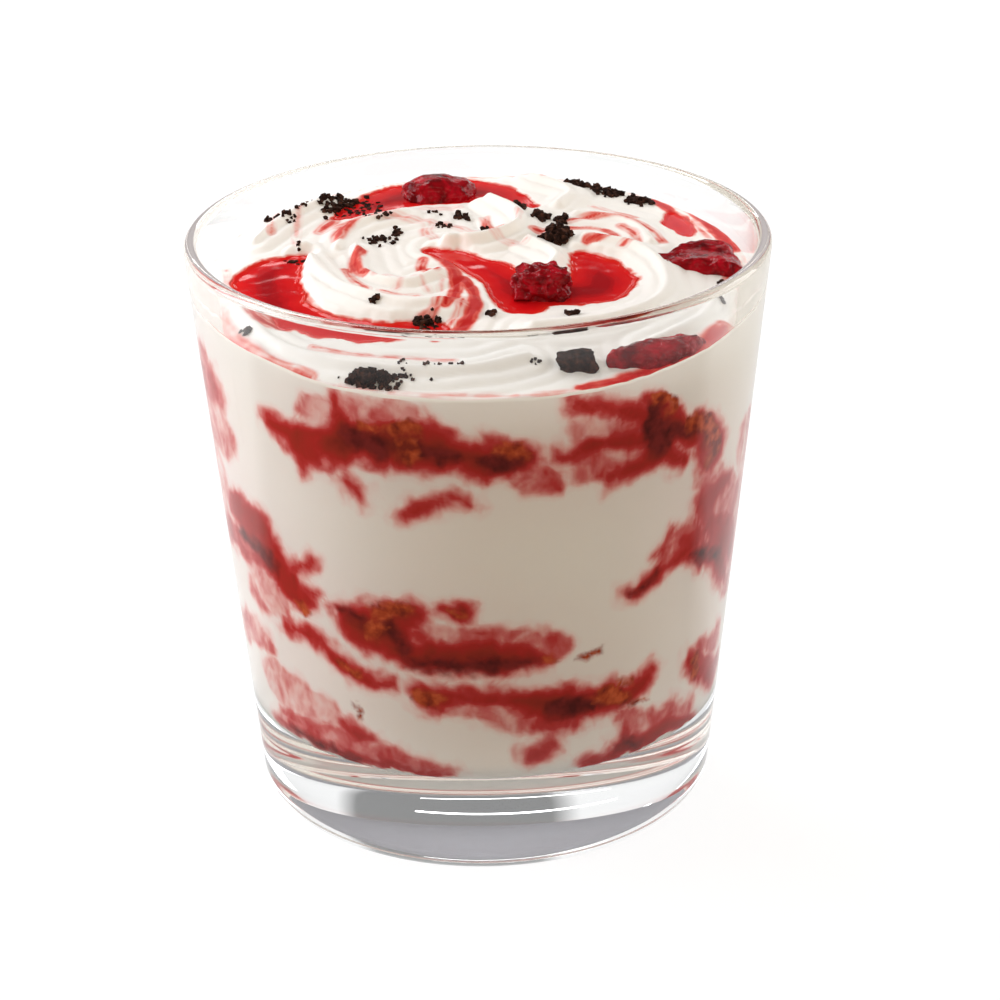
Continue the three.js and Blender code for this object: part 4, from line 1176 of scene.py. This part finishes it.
def mottled_look(name, colours, mottle, bumps, shine):
    """Mottled colour, with its size in mm and distortion, over bumps: size, detail, strength, height."""
    look = new_look(name)
    place = add_node(look, "TexCoord").outputs["Object"]
    mottle_scale = {"Scale": 1 / (mottle[0] * MM), "Detail": MOTTLE_DETAIL, "Distortion": mottle[1]}
    pattern = add_node(look, "TexNoise", {"Vector": place, **mottle_scale})
    colour = add_node(look, "ValToRGB", {"Fac": pattern}, stops=colours)
    size, detail, strength, height = bumps
    lumps = add_node(look, "TexNoise", {"Vector": place, "Scale": 1 / (size * MM), "Detail": detail})
    raised = add_node(look, "Bump", {"Strength": strength, "Distance": height * MM, "Height": lumps})
    finish_look(look, add_node(look, "BsdfPrincipled", {"Base Color": colour, "Normal": raised, **shine}))
    return look


fruit_look = mottled_look(
    "wet cooked fruit", [(0.3, "#52070A"), (0.5, "#8A0912"), (0.68, "#B00F20")], mottle=(2.5, 0.8),
    bumps=(1.0, 2.0, 0.6, 0.4), shine={"Roughness": 0.14, "IOR": 1.38, "Specular IOR Level": 0.24},
)
for piece in fruit.values():
    piece.data.materials.append(fruit_look)

# %% [markdown]
# ## Biscuit
# Dark cocoa biscuit breaks into sandy crumbs from dust to 2 mm. A crumb is a small cube, divided once
# and knocked out of shape, in four shapes. Two of the large lumps are clumps of crumbs round a core,
# and the third is a broken chunk. The rest of the crumbs are strewn in the clusters that the photo
# shows, each copy with its own mesh, and all are joined into one piece.

# %% One crumb, copied
random.seed(7)
CRUMB_SHAPES = 4
CRUMB_ROUGHNESS = (0.65, 1.5)


def crumb_shape(index):
    """A small cube, divided once and knocked out of shape."""
    deselect()
    bpy.ops.mesh.primitive_cube_add(size=MM)
    shape = named(f"crumb_shape_{index}")
    bpy.ops.object.mode_set(mode="EDIT")
    bpy.ops.mesh.subdivide(number_cuts=1)
    bpy.ops.mesh.vertices_smooth(factor=0.5)
    bpy.ops.object.mode_set(mode="OBJECT")
    for vertex in shape.data.vertices:
        vertex.co *= random.uniform(*CRUMB_ROUGHNESS)
    return shape


shapes = [crumb_shape(i) for i in range(CRUMB_SHAPES)]


def crumb_at(place, size):
    """A copy of a crumb with its own mesh, turned at random, at a place in millimetres."""
    turn = Matrix.Rotation(random.uniform(0, math.tau), 4, "Z")
    tip = Matrix.Rotation(random.uniform(0, math.tau), 4, "X")
    crumb = random.choice(shapes).copy()
    crumb.data = crumb.data.copy()
    crumb.data.transform(Matrix.Translation(Vector(place) * MM) @ turn @ tip @ Matrix.Scale(size, 4))
    bpy.context.scene.collection.objects.link(crumb)
    return crumb


def joined(pieces, name):
    """Joins pieces into one."""
    deselect()
    for piece in pieces:
        piece.select_set(True)
    bpy.context.view_layer.objects.active = pieces[0]
    bpy.ops.object.join()
    return named(name)


print("crumb shapes:", len(shapes))

# %% Three large lumps
CORE_PART = 0.6
CLUMP_REACH = (0.72, 0.95)
CLUMP_SIZES = (0.5, 1.3)
WEDGE_HEIGHT = 3.4
WEDGE_SLOPE = 0.5
WEDGE_DEPTH = 0.75


def clump_piece(name, node, count, size, sunk):
    """A clump in a node's box: a rough core with crumbs stuck all over it, sunk in the cream."""
    low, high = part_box(node)
    middle = np.array((low + high) / 2) / MM
    half = np.array((high - low) / 2) / MM
    middle[2] -= sunk
    core = lump_piece(name, node, 0.45, 1.3, 4, 0.2)
    move_points(core, middle + (points_of(core) - middle) * CORE_PART - (0, 0, sunk * CORE_PART))
    pieces = [core]
    while len(pieces) <= count:
        aim = Vector((random.gauss(0, 1), random.gauss(0, 1), random.gauss(0.3, 1))).normalized()
        place = middle + np.array(aim) * half * random.uniform(*CLUMP_REACH)
        if math.hypot(place[0], place[1]) < hollow_radius(place[2]) - size:
            pieces.append(crumb_at(place, size * random.uniform(*CLUMP_SIZES)))
    return joined(pieces, name)


biscuits = {
    "biscuit_chunk_front": lump_piece(
        "biscuit_chunk_front_dark", "biscuit_chunk_front", 0.22, 2.6, squareness=0.75
    ),
    "biscuit_lump_centre": clump_piece("biscuit_lump_centre_dark", "biscuit_lump_centre", 46, 1.1, 1.1),
    "biscuit_lump_front_left": clump_piece(
        "biscuit_lump_front_left_dark", "biscuit_lump_front_left", 84, 1.0, 2.9
    ),
}
# The front chunk is cut to a low wedge that slopes down to its left.
wedge = points_of(biscuits["biscuit_chunk_front"])
wedge_low, wedge_high = (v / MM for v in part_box("biscuit_chunk_front"))
share_high = (wedge[:, 2] - wedge_low.z) / (wedge_high.z - wedge_low.z)
share_left = (wedge_high.x - wedge[:, 0]) / (wedge_high.x - wedge_low.x)
wedge[:, 2] = wedge_low.z + share_high * (WEDGE_HEIGHT - WEDGE_SLOPE * share_left)
wedge[:, 1] = wedge_high.y - WEDGE_DEPTH * (wedge_high.y - wedge[:, 1])
move_points(biscuits["biscuit_chunk_front"], wedge)
print("biscuit lumps:", {name: len(piece.data.polygons) for name, piece in biscuits.items()})

# %% Crumbs strewn in clusters
# Middle of each cluster, its half spread in x and y, how many crumbs, and their usual size.
CLUSTERS = [
    (-21, 28, 3.8, 3.2, 90, 0.6),
    (-19, 31, 3.2, 1.6, 44, 0.66),
    (-28.5, 27, 2.4, 2.6, 14, 0.42),
    (-33, 22.3, 2.0, 0.7, 12, 0.5),
    (-30, 22, 1.2, 2.0, 12, 0.45),
    (17, 36.6, 2.6, 1.5, 50, 0.62),
    (21.5, 33.6, 2.6, 1.8, 60, 0.6),
    (25.6, 29.8, 1.6, 1.8, 40, 0.55),
    (-15.5, 12.5, 2.4, 2.0, 26, 0.46),
    (-12.8, 15.5, 0.6, 2.4, 12, 0.5),
    (-15.5, 20.6, 2.6, 0.9, 12, 0.4),
    (-3, 21.8, 1.2, 1.2, 16, 0.6),
    (-5, 17.6, 1.6, 1.2, 10, 0.45),
    (-7, 24, 1.0, 1.0, 6, 0.42),
    (10.2, 20.6, 1.4, 1.4, 34, 0.66),
    (13.4, 19.6, 0.9, 1.6, 18, 0.6),
    (7, 22.6, 0.7, 1.0, 9, 0.5),
    (1.6, 15.4, 0.9, 0.8, 8, 0.5),
    (-28.6, 5.6, 1.3, 1.0, 26, 0.62),
    (-28, 9.4, 0.5, 0.8, 5, 0.45),
    (-8, -20, 1.9, 1.5, 44, 0.62),
    (-10, -24.6, 0.8, 1.0, 9, 0.5),
    (-15.8, -14.7, 0.8, 0.6, 9, 0.5),
    (2, -17, 0.6, 0.9, 9, 0.5),
    (13.8, -18.8, 0.7, 1.3, 14, 0.62),
    (-34, -21.4, 0.7, 0.6, 7, 0.46),
    (8, -33, 0.7, 0.7, 7, 0.45),
    (-16, -37.6, 5.6, 2.2, 90, 0.5),
    (-22.5, -36.6, 1.8, 1.2, 26, 0.5),
    (-11, -36, 1.2, 2.2, 16, 0.42),
    (-4, -34.6, 3.6, 0.5, 12, 0.32),
    (-1, 40.2, 2.4, 0.5, 10, 0.5),
    (37, -6, 0.6, 1.0, 6, 0.42),
    (36, -15, 0.7, 0.4, 5, 0.42),
    (34, -11, 0.4, 0.4, 3, 0.4),
]
CLUSTER_SPREAD = 0.55
STREWN_SIZES = (0.45, 1.6)
SUNK = 0.25
EDGE_ROOM = 1.2

crumb_pieces = []
for cx, cy, dx, dy, count, size in CLUSTERS:
    drawn = [(random.gauss(0, CLUSTER_SPREAD), random.gauss(0, CLUSTER_SPREAD)) for _ in range(count)]
    spots = np.array(drawn) * (dx, dy) + (cx, cy)
    spots = spots[np.hypot(spots[:, 0], spots[:, 1]) < FILL_RADIUS - EDGE_ROOM]
    for (x, y), ground in zip(spots, top_height(spots[:, 0], spots[:, 1])):
        scale = size * random.uniform(*STREWN_SIZES)
        crumb_pieces.append(crumb_at((x, y, ground + SUNK * scale), scale))
crumb_count = len(crumb_pieces)
crumbs = joined(crumb_pieces, "biscuit_crumbs")
for shape in shapes:
    bpy.data.objects.remove(shape)
print("crumbs:", crumb_count, "joined,", len(crumbs.data.polygons), "faces")

# %% [markdown]
# The biscuit is dry and nearly black, with browner grains half a millimetre across. It has almost no
# shine, which sets it off from the wet fruit.

# %% Dark cocoa biscuit
biscuit_look = mottled_look(
    "dark cocoa biscuit", [(0.32, "#1A0F0C"), (0.52, "#33201A"), (0.72, "#5A392C")], mottle=(0.8, 0.0),
    bumps=(0.5, 3.0, 0.8, 0.3), shine={"Roughness": 0.85, "Specular IOR Level": 0.08},
)
for piece in [*biscuits.values(), crumbs]:
    piece.data.materials.append(biscuit_look)

# %% [markdown]
# ## Fit the pieces to the frame
# Each piece rides on the part's one body and stands for its CAD node.

# %% Ride and replace
fitted = [(glass, "clear_glass", "glass_tumbler"), (cream, "cream", "soft_serve")]
fitted += [(piece, "layer_sauce", node) for node, piece in layers.items()]
fitted += [(piece, "sauce", node) for node, piece in pools.items()]
fitted += [(piece, "fruit", node) for node, piece in fruit.items()]
fitted += [(piece, "biscuit", node) for node, piece in biscuits.items()]
for piece, slot_name, node in fitted:
    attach(piece, "root")
    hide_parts(node)
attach(crumbs, "root")
print("fitted:", len(fitted) + 1, "pieces")

# %% [markdown]
# ## Camera
# The camera looks down at 23 degrees from half a metre in front, with a long lens, as the photo's does.

# %% Set the camera
CAMERA_BACK = 0.500
CAMERA_HEIGHT = 0.26212
CAMERA_YAW = math.radians(0.324)
CAMERA_PITCH = math.radians(23.16)
CAMERA_ROLL = math.radians(-0.822)
SENSOR = 36.0
FOCAL_PIXELS = 3440.3
IMAGE_PIXELS = 1000

deselect()
bpy.ops.object.camera_add()
camera = bpy.context.object
forward = Vector(
    (
        math.sin(CAMERA_YAW) * math.cos(CAMERA_PITCH), math.cos(CAMERA_YAW) * math.cos(CAMERA_PITCH),
        -math.sin(CAMERA_PITCH),
    ),
)
level_right = Vector((math.cos(CAMERA_YAW), -math.sin(CAMERA_YAW), 0))
level_up = level_right.cross(forward)
right = math.cos(CAMERA_ROLL) * level_right + math.sin(CAMERA_ROLL) * level_up
up = math.cos(CAMERA_ROLL) * level_up - math.sin(CAMERA_ROLL) * level_right
turned = Matrix((right, up, -forward)).transposed().to_4x4()
camera.matrix_world = Matrix.Translation((0, -CAMERA_BACK, CAMERA_HEIGHT)) @ turned
camera.data.sensor_width = SENSOR
camera.data.lens = SENSOR * FOCAL_PIXELS / IMAGE_PIXELS
bpy.context.scene.camera = camera
print("lens", round(camera.data.lens, 1), "mm")

# %% [markdown]
# ## Studio
# Glass shows what stands round it. So, as a photographer would, the floor is lit white for the camera,
# but a dark card curves round the front of the glass for its reflections, and the sides of the room
# are white cards with a grey gap between them. Matt things feel the room in colours of its own, warm
# in front and dim above, which shades the food as in the photo.

# %% Floor and world
FLOOR_SIZE = 6.0
FLOOR_DROP = 0.0001
FLOOR_GREY = 0.1
GAP_GREY = 0.26
GAP_SHIFT = 0.1
FELT_FLOOR = 0.58
FELT_STRENGTH = 1.32
FELT_FRONT = "#F0D5AE"
FELT_SIDES = "#FFFEFD"
FELT_TOP = "#7B7A79"
SHINE_GREY = "#5C5C5E"
CARD_NEAR, CARD_FAR = 0.08, 0.24
CARD_BACK = 0.0
CARD_BLUR = 0.03


def by_ray(look, light_path, mirror, seen, mirrored, felt):
    """One of three shaders: as seen, as seen in a reflection, and as felt by matt surfaces."""
    matt = add_node(
        look, "Math", {0: light_path.outputs["Diffuse Depth"], 1: 0.5}, operation="GREATER_THAN"
    )
    looked_at = add_node(look, "MixShader", {0: mirror, 1: seen, 2: mirrored})
    return add_node(look, "MixShader", {0: matt, 1: looked_at, 2: felt})


deselect()
bpy.ops.mesh.primitive_plane_add(size=FLOOR_SIZE, location=(0, 0, -FLOOR_DROP))
floor = named("pale_floor")
floor_look = new_look("lit white floor")
floor_place = add_node(floor_look, "TexCoord")
floor_split = add_node(floor_look, "SeparateXYZ", {"Vector": floor_place.outputs["Object"]})
from_glass = add_node(floor_look, "VectorMath", {0: floor_place.outputs["Object"]}, operation="LENGTH")
from_ring = add_node(
    floor_look, "Math", {0: from_glass.outputs["Value"], 1: (CARD_NEAR + CARD_FAR) / 2},
    operation="SUBTRACT",
)
off_ring = add_node(floor_look, "Math", {0: from_ring}, operation="ABSOLUTE")
card_half = (CARD_FAR - CARD_NEAR) / 2
card_ends = []
for distance, card_end in ((off_ring, card_half), (floor_split.outputs["Y"], CARD_BACK)):
    fade = {"Value": distance, "From Min": card_end, "From Max": card_end + CARD_BLUR}
    card_ends.append(add_node(floor_look, "MapRange", fade))
off_card = add_node(floor_look, "Math", {0: card_ends[0], 1: card_ends[1]}, operation="MAXIMUM")
card_shade = add_node(floor_look, "MapRange", {"Value": off_card, "To Min": FLOOR_GREY, "To Max": 0.92})
floor_path = add_node(floor_look, "LightPath")
floor_mirror = add_node(
    floor_look, "Math", {0: floor_path.outputs["Glossy Depth"], 1: 0.5}, operation="GREATER_THAN"
)
lit_floor = add_node(floor_look, "Emission", {"Strength": 0.82})
matt_floor = add_node(floor_look, "BsdfDiffuse", {"Color": linear("#888888")})
seen_floor = add_node(floor_look, "AddShader", {0: lit_floor, 1: matt_floor})
mirrored_floor = add_node(floor_look, "Emission", {"Strength": card_shade})
felt_floor = add_node(floor_look, "Emission", {"Strength": FELT_FLOOR})
finish_look(
    floor_look, by_ray(floor_look, floor_path, floor_mirror, seen_floor, mirrored_floor, felt_floor)
)
floor_look.cycles.emission_sampling = "NONE"
floor.data.materials.append(floor_look)

world = bpy.data.worlds.new("white studio")
bpy.context.scene.world = world
world.use_nodes = True
world.node_tree.nodes.clear()
room = add_node(world, "TexCoord")
room_split = add_node(world, "SeparateXYZ", {"Vector": room.outputs["Generated"]})
shifted = add_node(world, "Math", {0: room_split.outputs["X"], 1: GAP_SHIFT}, operation="SUBTRACT")
sideways = add_node(world, "Math", {0: shifted}, operation="ABSOLUTE")
side_card = add_node(
    world, "ValToRGB", {"Fac": sideways}, stops=[(0.0, GAP_GREY), (0.26, GAP_GREY), (0.34, 1.0)]
)
upward = add_node(
    world, "MapRange", {"Value": room_split.outputs["Z"], "From Min": -0.2, "From Max": 0.8}
)
low_card = add_node(world, "ValToRGB", {"Fac": upward}, stops=[(0.0, 1.0), (0.22, 1.0), (0.36, 0.0)])
cards = add_node(
    world, "Mix", {0: 1.0, 6: side_card, 7: low_card}, data_type="RGBA", blend_type="LIGHTEN"
).outputs[2]
room_path = add_node(world, "LightPath")
room_white = add_node(world, "Background", {"Color": linear("#FFFFFF")})
room_cards = add_node(world, "Background", {"Color": cards})
room_dim = add_node(world, "Background", {"Color": linear(SHINE_GREY)})
room_seen = add_node(
    world, "MixShader", {0: room_path.outputs["Is Camera Ray"], 1: room_cards, 2: room_white}
)
front_share = add_node(
    world, "MapRange", {"Value": room_split.outputs["Y"], "From Min": -0.35, "From Max": -0.85}
)
felt_round = add_node(
    world, "Mix", {0: front_share, 6: linear(FELT_SIDES), 7: linear(FELT_FRONT)}, data_type="RGBA"
).outputs[2]
high_share = add_node(
    world, "MapRange", {"Value": room_split.outputs["Z"], "From Min": 0.3, "From Max": 0.7}
)
felt_all = add_node(
    world, "Mix", {0: high_share, 6: felt_round, 7: linear(FELT_TOP)}, data_type="RGBA"
).outputs[2]
room_felt = add_node(world, "Background", {"Color": felt_all, "Strength": FELT_STRENGTH})
in_shine = add_node(
    world, "Math", {0: room_path.outputs["Is Reflection Ray"], 1: 0.5}, operation="GREATER_THAN"
)
studio = by_ray(world, room_path, in_shine, room_seen, room_dim, room_felt)
add_node(world, "OutputWorld", {"Surface": studio})
world.cycles.sampling_method = "NONE"

# %% Lamps
LAMPS = [
    # name, place, width and height in metres, power in watts, colour
    ("left_softbox", (-0.7, 0.1, 0.35), (0.5, 0.5), 3.7, "#F0F4FF"),
    ("right_softbox", (0.75, 0.3, 0.3), (0.5, 0.5), 2.1, "#FFFFFF"),
    ("top_softbox", (-0.25, 0.45, 0.7), (0.3, 0.3), 1.9, "#FFFFFF"),
    ("front_softbox", (0.1, -0.6, 0.9), (0.5, 0.5), 1.5, "#FFF1DD"),
    ("back_strip", (-0.1, 1.0, 0.5), (0.6, 0.03), 0.3, "#FFFFFF"),
]
for name, place_at, (lamp_width, lamp_height), watts, colour in LAMPS:
    deselect()
    bpy.ops.object.light_add(type="AREA", location=place_at)
    lamp = named(name)
    lamp.data.shape = "RECTANGLE"
    lamp.data.size = lamp_width
    lamp.data.size_y = lamp_height
    lamp.data.energy = watts
    lamp.data.color = linear(colour)[:3]
    aim = Vector((0, 0, 0.05)) - Vector(place_at)
    lamp.rotation_euler = aim.to_track_quat("-Z", "Y").to_euler()
bpy.context.scene.view_settings.view_transform = "Standard"
# Light turns many times in a thick base and a round rim before it leaves.
bpy.context.scene.cycles.max_bounces = 24
bpy.context.scene.cycles.glossy_bounces = 16
bpy.context.scene.cycles.transmission_bounces = 20
print("lamps:", len(LAMPS))
